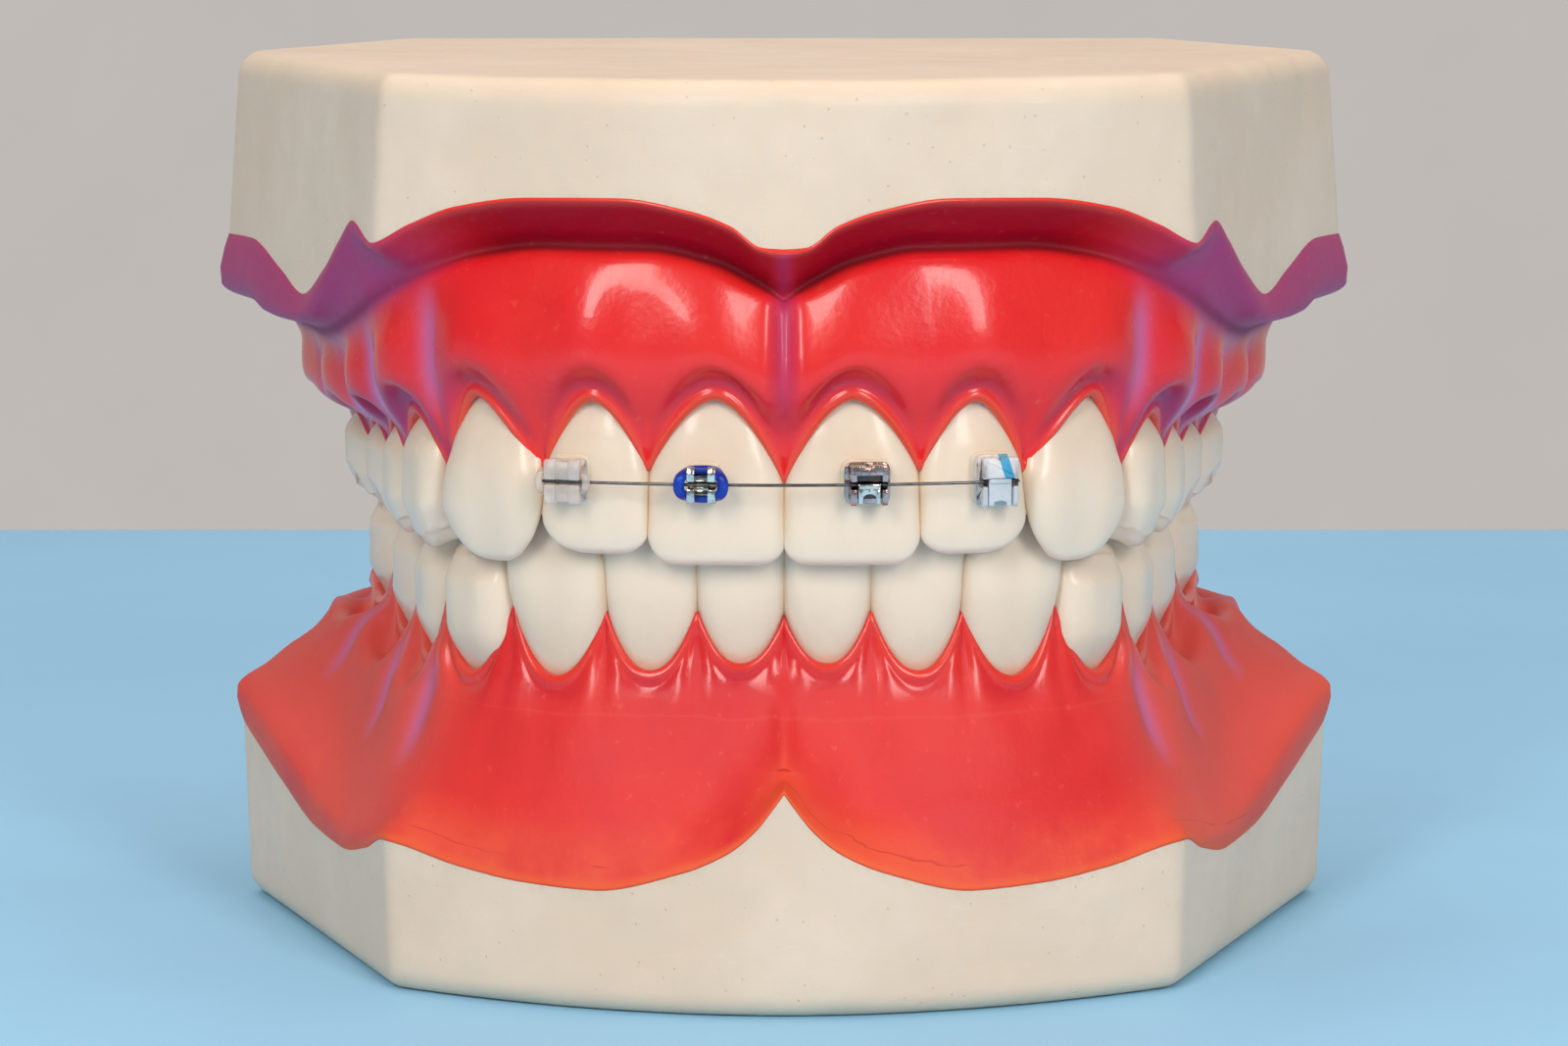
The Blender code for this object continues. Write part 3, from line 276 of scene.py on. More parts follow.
def castResin():
    # satin cream casting resin: mottled, worn on the arrises and stained along the seam, with pale
    # scuffs and fine dark pits
    finish = Finish("castResin", SubsurfaceWeight=0.12, SubsurfaceRadius=(1.0, 0.75, 0.5), SubsurfaceScale=0.0015)
    clouds = finish.noise(0.06, 4, 0.6)
    mottle = finish.noise(0.7, 5, 0.6)
    scuffs = finish.noise(0.5, 4, 0.65, 0.4, (1, 1, 5)).between(0.60, 0.74)
    pits = 1 - finish.cells(0.9).between(0.03, 0.10)
    edge, seam = finish.mark("arris"), finish.mark("seamDistance")
    colour = finish.layers(
        (0.745, 0.575, 0.440), (clouds.between(0.35, 0.68), (0.80, 0.635, 0.505)),
        (mottle.between(0.4, 0.75) * 0.22, (0.68, 0.59, 0.45)),
        (edge * clouds.between(0.3, 0.6) * 0.35, (0.70, 0.60, 0.44)),
        ((1 - seam.between(0.0, 0.8)) * mottle.between(0.35, 0.6) * 0.22, (0.68, 0.45, 0.30)),
        (scuffs * 0.15, (0.86, 0.79, 0.69)), (pits * 0.3, (0.42, 0.35, 0.26)))
    finish.set(BaseColor=colour, Roughness=0.40 + mottle * 0.16 + scuffs * 0.12)
    grain = finish.bump(finish.noise(5.0, 3), 0.012)
    waves = finish.bump(finish.noise(0.12, 2), 0.5, grain)
    finish.set(Normal=finish.bump(1 - pits, 0.03, waves))
    return finish.material


def gumResin():
    # red resin, glossy above and satin below and orange where it thins at its edges; painted shade darkens the fold
    # and its crease, a painted violet reflection lies over the sides, painted sheen on the root ridges and painted
    # shade in the hollow above each tooth
    finish = Finish("gumResin", SubsurfaceWeight=0.08, SubsurfaceRadius=(1.0, 0.2, 0.12), SubsurfaceScale=0.0012,
                    CoatRoughness=0.07, IOR=1.43)
    ahead = 1 - finish.axis("Y").between((base["depth"] / 2 - 0.03) * mm, (base["depth"] / 2 - 0.01) * mm)

    def shown(name):  # a mark, left out of the flat back face
        return finish.mark(name) * ahead

    clouds = finish.noise(0.10, 4, 0.6)
    streaks = finish.noise(0.35, 4, 0.65, 0.5, (1, 1, 0.35))
    specks = finish.noise(1.6, 3, 0.6)
    wander = finish.noise(0.22, 3, 0.5, 0.8, (0.6, 0.6, 3.0)) - 0.5
    lower, fromRim = finish.mark("lowerJaw"), finish.mark("rimDistance")
    # painted shade in the fold and its crease, and a painted violet reflection over the sides
    fold, film, crease = shown("foldDepth"), shown("film"), shown("creaseDepth")
    rim = ahead * (1 - fromRim.between(0.05, 0.9))
    glow = ahead * (1 - fromRim.between(0.5, 5.0))
    edge = finish.mark("marginDistance") + (1 - ahead) * 9.0
    lip = 1 - edge.between(0.10, 0.80)
    satin = lower * edge.between(1.0, 1.9)  # the lower gum is glossy only along the teeth
    trace = (fromRim + wander * 1.6 - 1.5).absolute()  # a fine crack that follows the rim
    crack = ahead * lower * (1 - trace.between(0.02, 0.06)) * clouds.between(0.48, 0.56)
    mould = (finish.axis("Z") + (streaks * 0.4 + wander * 1.4) * mm - mouldHeight * mm).absolute()
    parted = 1 - mould.between(0.04 * mm, 0.13 * mm)  # a faint line left by the mould
    colour = finish.layers(
        (0.80, 0.014, 0.018), (lower, (0.71, 0.019, 0.021)),
        (clouds.between(0.35, 0.7) * 0.5, (0.84, 0.036, 0.024)),
        (streaks.between(0.5, 0.75) * 0.30, (0.70, 0.010, 0.022)),
        (glow * lower * clouds.between(0.3, 0.6) * 0.75, (0.82, 0.095, 0.035)),
        # painted shade and a painted dark violet reflection in the hollow above each tooth
        (shown("shade") * 0.55, (0.30, 0.008, 0.055)),
        # painted violet reflection over the sides, the frenum and near the margins
        (film * 0.78, finish.mix(lower, (0.28, 0.035, 0.19), (0.76, 0.16, 0.12))),
        # painted sheen: violet highlight lines on the ridges between the roots
        (shown("sheenLine") * (0.85 - lower * 0.35), (0.46, 0.20, 0.52)),
        # painted shade in the fold band under the base and along its crease
        (fold, (0.42, 0.0, 0.014)), (crease * 0.8, (0.14, 0.0, 0.006)),
        (rim * shown("thinEdge"), (0.84, 0.11, 0.025)),
        (lip * (0.6 - lower * 0.42), (0.82, 0.10, 0.035)), (crack * 0.32, (0.42, 0.01, 0.01)),
        (parted * (1 - glow) * lower * 0.15, (0.84, 0.10, 0.07)),
        (specks.between(0.62, 0.75) * 0.25, (0.84, 0.15, 0.09)))
    dull = satin * 0.26 + fold * 0.08 + crease * 0.4 + film * (1 - lower) * 0.2
    finish.set(BaseColor=colour, Roughness=0.22 + clouds * 0.10 + dull,
               CoatWeight=(0.10 + streaks * 0.3) * (1 - satin) * (1 - fold) * (1 - film))
    dents = finish.bump(finish.noise(0.5, 2, 0.5) * edge.between(0.5, 2.5), 0.03)
    skin = finish.bump(finish.noise(2.4, 3), 0.018, dents)
    finish.set(Normal=finish.bump(1 - crack * (1 - rim), 0.03, skin))
    return finish.material


def toothResin():
    # warm tooth-coloured resin: yellower at the neck, with painted amber shade where teeth meet and painted shade in
    # the pits of the back teeth, clearer towards the tip
    finish = Finish("toothResin", SubsurfaceWeight=0.3, SubsurfaceRadius=(1.0, 0.72, 0.45), SubsurfaceScale=0.0016,
                    CoatRoughness=0.12, IOR=1.48)
    level = finish.mark("level")
    clouds = finish.noise(0.22, 4, 0.6)
    lines = finish.noise(1.1, 3, 0.5, 0.0, (1, 1, 0.16))
    colour = finish.layers(
        (0.745, 0.58, 0.44), (level.between(0.0, 0.7), (0.85, 0.682, 0.535)),
        (level.between(0.84, 1.0) * 0.35, (0.80, 0.69, 0.58)),
        (clouds.between(0.4, 0.7) * 0.3, (0.88, 0.735, 0.58)),
        (lines.between(0.5, 0.8) * 0.14, (0.77, 0.66, 0.50)),
        # painted amber shade where neighbouring teeth meet
        (finish.mark("contact") * 0.42, (0.74, 0.50, 0.28)),
        # painted shade in the pits of the back teeth's tops
        (finish.mark("groove") * 0.5, (0.60, 0.48, 0.32)))
    finish.set(BaseColor=colour, Roughness=0.30 + clouds * 0.10 + lines * 0.05, CoatWeight=0.2 + clouds * 0.2)
    ridges = finish.bump(lines, 0.015)
    finish.set(Normal=finish.bump(finish.noise(0.5, 2), 0.08, ridges))
    return finish.material


def bracketSteel(name, colour, rough, shadow=0.0):
    # polished stainless steel: fine tumbling marks, duller patches, and shadow in its recesses
    finish = Finish(name, Metallic=1.0)
    marks = finish.noise(9.0, 4, 0.6, 0.0, (1, 1, 0.25))
    tarnish = finish.noise(1.4, 3, 0.6)
    recess = finish.mark("recess")
    dull = tuple(0.45 * part for part in colour)
    worn = finish.mix(tarnish.between(0.42, 0.72) * 0.6, colour, dull)
    finish.set(BaseColor=finish.mix(recess * shadow, worn, (0.05, 0.035, 0.03)),
               Roughness=rough + tarnish * 0.12 + marks * 0.06)
    dents = finish.bump(tarnish, 0.05)
    finish.set(Normal=finish.bump(marks, 0.006, dents))
    return finish.material


def ceramic(name, colour, veil, rough, alpha, milk=None):
    # polycrystalline ceramic: pale and cloudy with a glassy skin. With milk, its foot is milky up to
    # the wire and a slanting turquoise position mark crosses the front of its head
    finish = Finish(name, Alpha=alpha, SubsurfaceWeight=0.25, SubsurfaceRadius=(1, 0.9, 0.8),
                    SubsurfaceScale=0.0008, IOR=1.42, CoatWeight=0.3, CoatRoughness=0.08)
    clouds = finish.noise(1.2, 4, 0.6)
    grain = finish.noise(7.0, 3, 0.5)
    colour = finish.mix(clouds.between(0.35, 0.7), colour, veil)
    if milk:
        foot = 1 - finish.axis("Z").between(milk["top"] * mm, (milk["top"] + 0.12) * mm)
        start = milk["across"] + milk["slant"] * milk["height"]
        aside = (finish.axis("X") + finish.axis("Z") * milk["slant"] - start * mm).absolute()
        stripe = (1 - aside.between(milk["half"] * mm, (milk["half"] + 0.05) * mm)) * (1 - foot)
        ahead = 1 - finish.axis("Y").between(milk["behind"] * mm, (milk["behind"] + 0.05) * mm)
        colour = finish.layers(colour, (foot * 0.85, milk["colour"]), (stripe * ahead * 0.92, milk["mark"]))
    finish.set(BaseColor=colour, Roughness=rough + clouds * 0.12 + grain * 0.05)
    finish.set(Normal=finish.bump(grain, 0.008, finish.bump(clouds, 0.05)))
    return finish.material


def elastic(name, colour, deep, through=0.0, alpha=1.0):
    # moulded elastic: cloudy between two tones, with a slight orange peel
    finish = Finish(name, Alpha=alpha, TransmissionWeight=through, IOR=1.45, CoatWeight=0.1, CoatRoughness=0.15)
    clouds = finish.noise(1.5, 3, 0.5)
    finish.set(BaseColor=finish.mix(clouds.between(0.35, 0.7), deep, colour), Roughness=0.30 + clouds * 0.16)
    finish.set(Normal=finish.bump(finish.noise(6.0, 3), 0.012))
    return finish.material


def bondingPaste():
    # cured bonding paste close to the tooth's colour, with small voids
    finish = Finish("bondingPaste", SubsurfaceWeight=0.3, SubsurfaceRadius=(1, 0.7, 0.4), SubsurfaceScale=0.001)
    clouds = finish.noise(1.3, 4, 0.6)
    colour = finish.mix(clouds.between(0.35, 0.7), (0.79, 0.68, 0.50), (0.84, 0.76, 0.62))
    finish.set(BaseColor=colour, Roughness=0.38 + clouds * 0.2)
    finish.set(Normal=finish.bump(finish.noise(3.0, 4), 0.05))
    return finish.material


castResinFinish = castResin()
gumFinish = gumResin()
toothFinish = toothResin()
steelFinish = bracketSteel("bracketSteel", (0.88, 0.80, 0.74), 0.08, 0.35)
# a darker, pinker copy of the steel: painted reflection of the dark room and the red gum, with deep painted shade in
# its recesses
steelPaintedReflectionFinish = bracketSteel("steelPaintedReflection", (0.64, 0.46, 0.43), 0.10, 0.90)
wireFinish = bracketSteel("wireSteel", (0.17, 0.165, 0.16), 0.24)
clearFinish = ceramic("clearCeramic", (0.76, 0.64, 0.57), (0.86, 0.75, 0.70), 0.24, 0.55)
milkyClearFinish = ceramic("milkyClearCeramic", (0.85, 0.78, 0.76), (0.93, 0.88, 0.86), 0.20, 0.78, headMark)
milkyFinish = ceramic("milkyCeramic", (0.60, 0.64, 0.69), (0.70, 0.73, 0.77), 0.24, 0.86)
blueFinish = elastic("blueElastic", (0.0, 0.05, 0.43), (0.0, 0.02, 0.30))
clearElasticFinish = elastic("clearElastic", (0.86, 0.78, 0.71), (0.80, 0.71, 0.64), 0.35, 0.45)
pasteFinish = bondingPaste()
print("finishes made")


# Bases: plan

def rightOutline():
    # the base's plan from the front middle to the back corner: a power curve across the front and two
    # straight sides, in even steps, with the corners rounded by a weighted mean of nearby points
    x = np.linspace(0, base["frontHalfWidth"], 120)
    front = np.stack([x, base["cornerSetback"] * (x / base["frontHalfWidth"]) ** base["frontPower"]], 1)
    wide, back = (base["wideHalfWidth"], base["wideSetback"]), (base["backHalfWidth"], base["depth"])
    corners = np.array([front[-1], wide, back])
    sides = [a + np.linspace(0, 1, 150)[1:, None] * (b - a) for a, b in zip(corners, corners[1:])]
    line = np.concatenate([front, *sides])
    length = lengthsAlong(line)
    even = np.linspace(0, length[-1], 1400)
    line = np.stack([np.interp(even, length, line[:, i]) for i in (0, 1)], 1)
    reach = int(base["cornerRounding"] / (even[1] - even[0]) / 2)
    before = line[1:reach + 1][::-1] * (-1, 1)
    after = 2 * line[-1] - line[-reach - 1:-1][::-1]
    window = np.hanning(2 * reach + 3)[1:-1]
    padded = np.concatenate([before, line, after])
    return np.stack([np.convolve(padded[:, i], window / window.sum(), "valid") for i in (0, 1)], 1)


outline = rightOutline()
outlineLength = lengthsAlong(outline)


# Dental arches

archShape = {
    "front": 3.0, "heelStart": 42.0, "heelDraw": 10.2, "overjetFront": 2.3, "overjetBack": 1.5, "overjetFade": 24.0,
    "contactGap": {"upper": -0.08, "lower": -0.25}, "canineRoom": {"upper": 7.0, "lower": 2.0},
    "marginLean": {"upper": (0, 0, 0.11, 0, 0, 0, 0), "lower": (0,) * 7},
    "marginPower": {"upper": 1.7, "lower": 2.2}, "papillaDrop": {"upper": 0.45, "lower": 0.0},
    "turn": (  # arc length, and degrees turned from straight across
        (0.0, 0.0), (4.3, 2.2), (8.6, 8.0), (12.1, 16.5), (15.6, 25.5), (19.5, 35.5), (23.5, 50.0),
        (27.0, 64.5), (30.7, 74.0), (34.5, 77.5), (42.0, 77.5), (52.0, 76.5), (80.0, 76.5)),
}
# name, kind, width, height of the gum apex, of the tip and of the papilla behind it, depth at the neck
upperTeeth = (
    ("central", "incisor", 8.55, 38.2, 27.9, 33.9, 6.2),
    ("lateral", "incisor", 7.05, 38.0, 28.5, 33.4, 5.6),
    ("canine", "canine", 7.90, 37.9, 27.6, 32.6, 6.6),
    ("first_premolar", "premolar", 7.20, 36.2, 27.3, 32.2, 8.6),
    ("second_premolar", "premolar", 6.90, 35.2, 27.3, 31.8, 8.8),
    ("first_molar", "molar", 10.00, 34.3, 27.3, 31.6, 10.4),
    ("second_molar", "molar", 9.40, 33.8, 27.3, 32.6, 10.2),
)
lowerTeeth = (
    ("central", "small_incisor", 5.50, 21.5, 30.2, 24.9, 5.4),
    ("lateral", "small_incisor", 6.00, 21.0, 30.3, 24.8, 5.6),
    ("canine", "blunt_canine", 6.80, 20.4, 30.5, 24.9, 6.0),
    ("first_premolar", "premolar", 7.10, 20.1, 29.3, 24.6, 7.4),
    ("second_premolar", "premolar", 7.30, 20.2, 29.3, 24.4, 8.0),
    ("first_molar", "molar", 10.90, 20.3, 29.3, 24.2, 9.4),
    ("second_molar", "molar", 10.30, 21.0, 29.3, 23.4, 9.2),
)


class Arch:
    # the line of the teeth: short steps whose direction turns along it, drawn in at the back and set
    # behind the lip side by the overjet; the teeth stand on it one after another from the middle
    def __init__(self, jaw, teeth, overjetFront, overjetBack, midPapilla):
        self.jaw, self.teeth, self.midPapilla = jaw, teeth, midPapilla
        self.up = jaw == "upper"
        self.rootward = 1.0 if self.up else -1.0
        shape = archShape
        t = np.linspace(0, 1.6 * base["depth"], 3000)
        turn = np.radians(smoothCurve(shape["turn"], (t[1:] + t[:-1]) / 2))
        x = np.concatenate([[0], np.cumsum(np.cos(turn))]) * t[1]
        y = np.concatenate([[0], np.cumsum(np.sin(turn))]) * t[1] + shape["front"]
        drawn = np.maximum(0, y - shape["heelStart"]) / (base["depth"] - shape["heelStart"])
        x -= shape["heelDraw"] * drawn ** 2
        x, y = x[y < base["depth"]], y[y < base["depth"]]
        step = np.gradient(np.stack([x, y], 1), axis=0)
        step /= np.hypot(*step.T)[:, None]
        self.outward = np.stack([step[:, 1], -step[:, 0]], 1)
        inset = overjetFront + (overjetBack - overjetFront) * np.clip(y / shape["overjetFade"], 0, 1)
        self.line = np.stack([x, y], 1) - self.outward * inset[:, None]
        self.length = lengthsAlong(self.line)
        self.limits = np.concatenate([[0], np.cumsum([tooth[2] for tooth in teeth])])

    def place(self, s):
        # points and outward directions at arc lengths s, negative on the left
        s = np.asarray(s, float)
        side = np.where(s < 0, -1.0, 1.0)
        found = [np.interp(np.abs(s), self.length, values) for values in (*self.line.T, *self.outward.T)]
        outward = np.stack([found[2] * side, found[3]], -1)
        return (np.stack([found[0] * side, found[1]], -1),
                outward / np.linalg.norm(outward, axis=-1, keepdims=True))

    def heel(self, s):
        # 0 up to the last molar and 1 at the arch's end
        return np.clip((np.abs(s) - self.limits[-1]) / (self.length[-1] - self.limits[-1]), 0, 1)

    def phase(self, s):
        # which tooth, and how far over it: 0 and 1 at its sides
        s = np.abs(s)
        i = np.clip(np.searchsorted(self.limits, s, side="right") - 1, 0, len(self.teeth) - 1)
        return i, np.clip((s - self.limits[i]) / (self.limits[i + 1] - self.limits[i]), 0, 1)

    def margin(self, s, spread=0.0):
        # gum margin on the lip side: a rounded arch from papilla to papilla over each tooth, here the
        # mean over a spread of arc length to both sides
        if spread:
            return np.mean([self.margin(s + shift) for shift in np.linspace(-spread, spread, 11)], axis=0)
        i, t = self.phase(s)
        t = t - np.array(archShape["marginLean"][self.jaw])[i] * np.sin(math.pi * t)
        papillae = np.array([self.midPapilla] + [tooth[5] for tooth in self.teeth])
        apex = np.array([tooth[3] for tooth in self.teeth])[i]
        tip = np.where(t < 0.5, papillae[i], papillae[i + 1]) - archShape["papillaDrop"][self.jaw]
        return apex + (tip - apex) * np.abs(2 * t - 1) ** archShape["marginPower"][self.jaw]


upperArch = Arch("upper", upperTeeth, 0.0, 0.0, 33.3)
lowerArch = Arch("lower", lowerTeeth, archShape["overjetFront"], archShape["overjetBack"], 24.4)


# Teeth

bite = {"height": 28.35, "wave": 0.95, "waveLength": 6.4, "cuspLine": -1.2, "gap": 0.5, "scallop": 0.9}
# levels from the root end over the gum apex (0) to the tip (1); half widths as shares of the width;
# lip and tongue sides as distances out and as shares of the neck's depth; corner radii near and far
toothForms = {
    "incisor": {
        "level": (-0.50, 0.00, 0.25, 0.45, 0.60, 0.80, 0.93, 1.00),
        "half": (0.28, 0.44, 0.480, 0.499, 0.500, 0.500, 0.498, 0.494),
        "lip": (-2.60, -0.95, -0.35, -0.10, -0.01, 0.00, -0.12, -0.35),
        "tongue": (0.78, 1.00, 0.90, 0.66, 0.52, 0.33, 0.25, 0.19), "lobes": 0.06},
    "small_incisor": {
        "level": (-0.50, 0.00, 0.20, 0.37, 0.55, 0.80, 0.93, 1.00),
        "half": (0.26, 0.41, 0.465, 0.492, 0.500, 0.500, 0.498, 0.494),
        "lip": (-2.60, -0.95, -0.45, -0.18, -0.02, 0.00, -0.12, -0.35),
        "tongue": (0.78, 1.00, 0.92, 0.78, 0.56, 0.33, 0.25, 0.19), "lobes": 0.03},
    "canine": {
        "level": (-0.50, 0.00, 0.30, 0.48, 0.58, 0.68, 0.82, 0.93, 1.00),
        "half": (0.28, 0.43, 0.485, 0.500, 0.500, 0.488, 0.410, 0.290, 0.210),
        "lip": (-2.90, -0.90, -0.05, 0.19, 0.21, 0.14, -0.08, -0.34, -0.60),
        "tongue": (0.70, 1.00, 0.84, 0.54, 0.41, 0.30, 0.24, 0.20, 0.16), "lobes": -0.10},
    "blunt_canine": {
        "level": (-0.50, 0.00, 0.30, 0.42, 0.55, 0.70, 0.82, 0.93, 1.00),
        "half": (0.28, 0.42, 0.475, 0.493, 0.500, 0.500, 0.450, 0.330, 0.250),
        "lip": (-2.90, -0.90, -0.10, 0.06, 0.16, 0.09, -0.12, -0.36, -0.60),
        "tongue": (0.70, 1.00, 0.84, 0.64, 0.44, 0.30, 0.24, 0.20, 0.16), "lobes": -0.08},
    "premolar": {
        "level": (-0.50, 0.00, 0.30, 0.60, 0.86), "half": (0.30, 0.43, 0.488, 0.498, 0.450),
        "lip": (-2.40, -0.80, 0.30, 0.30, -0.35), "tongue": (0.74, 1.00, 1.08, 1.06, 0.96), "lobes": -0.12},
    "molar": {
        "level": (-0.50, 0.00, 0.30, 0.60, 0.86), "half": (0.32, 0.45, 0.490, 0.498, 0.460),
        "lip": (-2.20, -0.80, 0.30, 0.30, -0.30), "tongue": (0.78, 1.00, 1.06, 1.05, 0.96), "lobes": 0.22},
}
# corner roundings of the front teeth, towards the midline and away from it: (across, up)
toothCorners = {
    "upper": {"central": ((1.7, 1.4), (1.8, 2.3)), "lateral": ((2.3, 1.4), (3.0, 2.6)),
              "canine": ((1.1, 0.8), (1.2, 1.0))},
    "lower": {"central": ((0.6, 0.6), (0.8, 0.8)), "lateral": ((0.6, 0.6), (0.9, 0.9)),
              "canine": ((0.9, 0.7), (1.1, 0.9))},
}
# points around a tooth, the share of its crown where they close up, its edge, the roundness of its
# sides, and the rows, rim and pit of a back tooth's top
toothBuild = {
    "around": 80, "tipShare": 0.24, "edgeRadius": 0.45, "middle": 0.42, "sidePower": 0.74, "lipPower": 0.85,
    "tongueDraw": 0.22, "topRows": 18, "rimHeight": 0.45, "pitDepth": 0.25,
}


def biteSurface(plan):
    # height between the back teeth: a wave across the arch, fuller at the middle of each cusp
    gap = np.hypot(np.abs(plan[..., 0])[..., None] - upperArch.line[::6, 0],
                   plan[..., 1][..., None] - upperArch.line[::6, 1])
    nearest = gap.argmin(-1) * 6
    offset = np.stack([np.abs(plan[..., 0]), plan[..., 1]], -1) - upperArch.line[nearest]
    out = (offset * upperArch.outward[nearest]).sum(-1)
    # cusps passed since the canine: one at each premolar and two at each molar
    turns = np.interp(upperArch.length[nearest], upperArch.limits[2:], [-1.0, 0.0, 1.0, 2.0, 4.0, 6.0])
    phase = 0.5 - 0.5 * np.cos(2 * math.pi * turns)
    wave = bite["wave"] * (0.72 + 0.28 * (2 * phase - 1))
    return bite["height"] - wave * np.cos(2 * math.pi * (out - bite["cuspLine"]) / bite["waveLength"]), out, phase


def sideLimits(arch, index):
    # the lines that a tooth shares with its neighbours: distance along, distance out, slope; a canine
    # takes some room from the teeth beside it
    middle, outward = arch.place((arch.limits[index] + arch.limits[index + 1]) / 2)
    along = np.array([-outward[1], outward[0]])
    kinds = [tooth[1] for tooth in arch.teeth]
    lines = []
    for end, other in ((0, index - 1), (1, index + 1)):
        contact, way = arch.place(arch.limits[index + end] + 1e-6)
        turn = math.acos(min(1.0, float(way @ outward)))
        if "canine" in kinds[index]:
            turn -= math.radians(archShape["canineRoom"][arch.jaw])
        elif 0 <= other < len(kinds) and "canine" in kinds[other]:
            turn += math.radians(archShape["canineRoom"][arch.jaw])
        offset = contact - middle
        lines.append((abs(float(offset @ along)), float(offset @ outward), math.tan(turn)))
    return lines


def toothShape(arch, index, side):
    # rings of superellipses from the root end to the tip: a flatter lip side, a narrower tongue side,
    # corners and edge rounded by quarter circles, and a back tooth's top laid on the bite surface
    name, kind, width, apex, tip, _, depth = arch.teeth[index]
    form = toothForms[kind]
    front = "incisor" in kind or "canine" in kind
    crown = abs(apex - tip)
    top = form["level"][-1]
    build = toothBuild
    close = build["tipShare"] * (1 - np.cos(np.linspace(0, math.pi / 2, 20)))
    crownStart = top - build["tipShare"]
    level = np.concatenate([np.linspace(-0.5, 0, 5)[:-1], np.linspace(0, crownStart, 22)[:-1],
                            top - close[::-1] if front else np.linspace(crownStart, top, 8)])[:, None]
    half, lip, deep = (smoothCurve(list(zip(form["level"], form[key])), level) for key in ("half", "lip", "tongue"))
    half = half * width
    turn = (np.arange(build["around"]) * 2 * math.pi / build["around"])[None, :]
    across, along = np.sin(turn), np.cos(turn)
    tongue = lip - deep * depth
    middle = lip - build["middle"] * (lip - tongue)
    a = half * np.sign(along) * np.abs(along) ** build["sidePower"]
    room = (1 - level) * crown
    reach = np.where(across > 0, lip - middle, middle - tongue)
    if front:
        near, far = toothCorners[arch.jaw][name]
        sideways, upward = (np.where(along < 0, near[k], far[k]) for k in (0, 1))
        sideways = np.minimum(sideways, 0.98 * half[-1])
        lost = np.where(room < upward, 1 - np.sqrt(np.maximum(0, 1 - (1 - room / upward) ** 2)), 0) * sideways
        a = a * (1 - lost / half)
        radius = build["edgeRadius"]
        reach = reach * np.where(room < radius, np.sqrt(np.maximum(0, 1 - (1 - room / radius) ** 2)), 1)
    b = middle + reach * np.sign(across) * np.abs(across) ** build["lipPower"]
    a = a * (1 - build["tongueDraw"] * np.clip(-across, 0, 1) ** 1.5)
    share = a / (width / 2)
    lobes = form["lobes"] * ramp(level, 0.15, 0.6) * np.clip(across, 0, 1)
    b = b - lobes * (0.5 - 0.5 * np.cos(2 * math.pi * share * (1.5 if "incisor" in kind else 1.0)))
    limits = sideLimits(arch, index)
    near = limits[0][0] + np.minimum(b - limits[0][1], 0) * limits[0][2]
    far = limits[1][0] + np.minimum(b - limits[1][1], 0) * limits[1][2]
    gap = archShape["contactGap"][arch.jaw]
    a = a * np.minimum(1 - gap / width, (np.where(a < 0, near, far) - gap / 2) / (width / 2))
    point, outward = arch.place(side * (arch.limits[index] + arch.limits[index + 1]) / 2)
    sideways = np.array([-outward[1], outward[0]])
    plan = point + a[..., None] * side * sideways + b[..., None] * outward
    height = np.broadcast_to(apex + (tip - apex) * level, a.shape)
    marks = np.broadcast_to(level, a.shape)
    groove = np.zeros(a.shape)
    # where the painted amber shade between neighbouring teeth lies
    contact = ramp(np.abs(a) / (width / 2), 0.84, 1.0) * ramp(level, -0.05, 0.2) * (1 - ramp(level, 0.72, 0.95))
    if not front:
        inward = np.cos(np.linspace(0, math.pi / 2, build["topRows"]))[:, None, None]
        centre = plan[-1].mean(0)
        plan = np.concatenate([plan[:-1], centre + (plan[-1] - centre) * inward])
        surface, out, phase = biteSurface(plan[-build["topRows"]:])
        surface = surface + arch.rootward * bite["gap"] / 2
        if arch.up:
            surface = surface + bite["scallop"] * np.clip((out - bite["cuspLine"] + 1.2) / 1.2, 0, 1) * (1 - phase)
        rim = ramp(inward[..., 0], 0.80, 1.0)
        surface = surface + arch.rootward * build["rimHeight"] * rim
        pit = hump(inward[..., 0], 0, 0.45) * (0.6 + 0.4 * np.cos(4 * turn))
        surface = surface + arch.rootward * build["pitDepth"] * pit
        height = np.concatenate([height[:-1], surface])
        marks = np.concatenate([marks[:-1], np.full(surface.shape, 0.85)])
        # the pit, where the finish paints shade
        groove = np.concatenate([groove[:-1], np.clip(pit - 0.4, 0, 1) + np.zeros(surface.shape)])
        contact = np.concatenate([contact[:-1], np.zeros(surface.shape)])
        lift = ramp(level[:, 0], 0.5, top)[:-1, None]
        rise = surface[0] - (apex + (tip - apex) * top)
        height = np.concatenate([height[:len(lift)] + lift * rise, height[len(lift):]])
    grid = np.concatenate([plan, height[..., None]], -1).transpose(1, 0, 2)
    painted = {"level": marks.T, "groove": groove.T, "contact": contact.T}
    return {"grids": [(grid, True, painted)], "caps": [grid[:, 0]]}


for arch in (upperArch, lowerArch):
    for side, word in ((-1, "left"), (1, "right")):
        for index, tooth in enumerate(arch.teeth):
            makePiece("_".join((arch.jaw, word, tooth[0])), toothShape(arch, index, side),
                      toothFinish, 50)
print("teeth made")


# Bases and gums

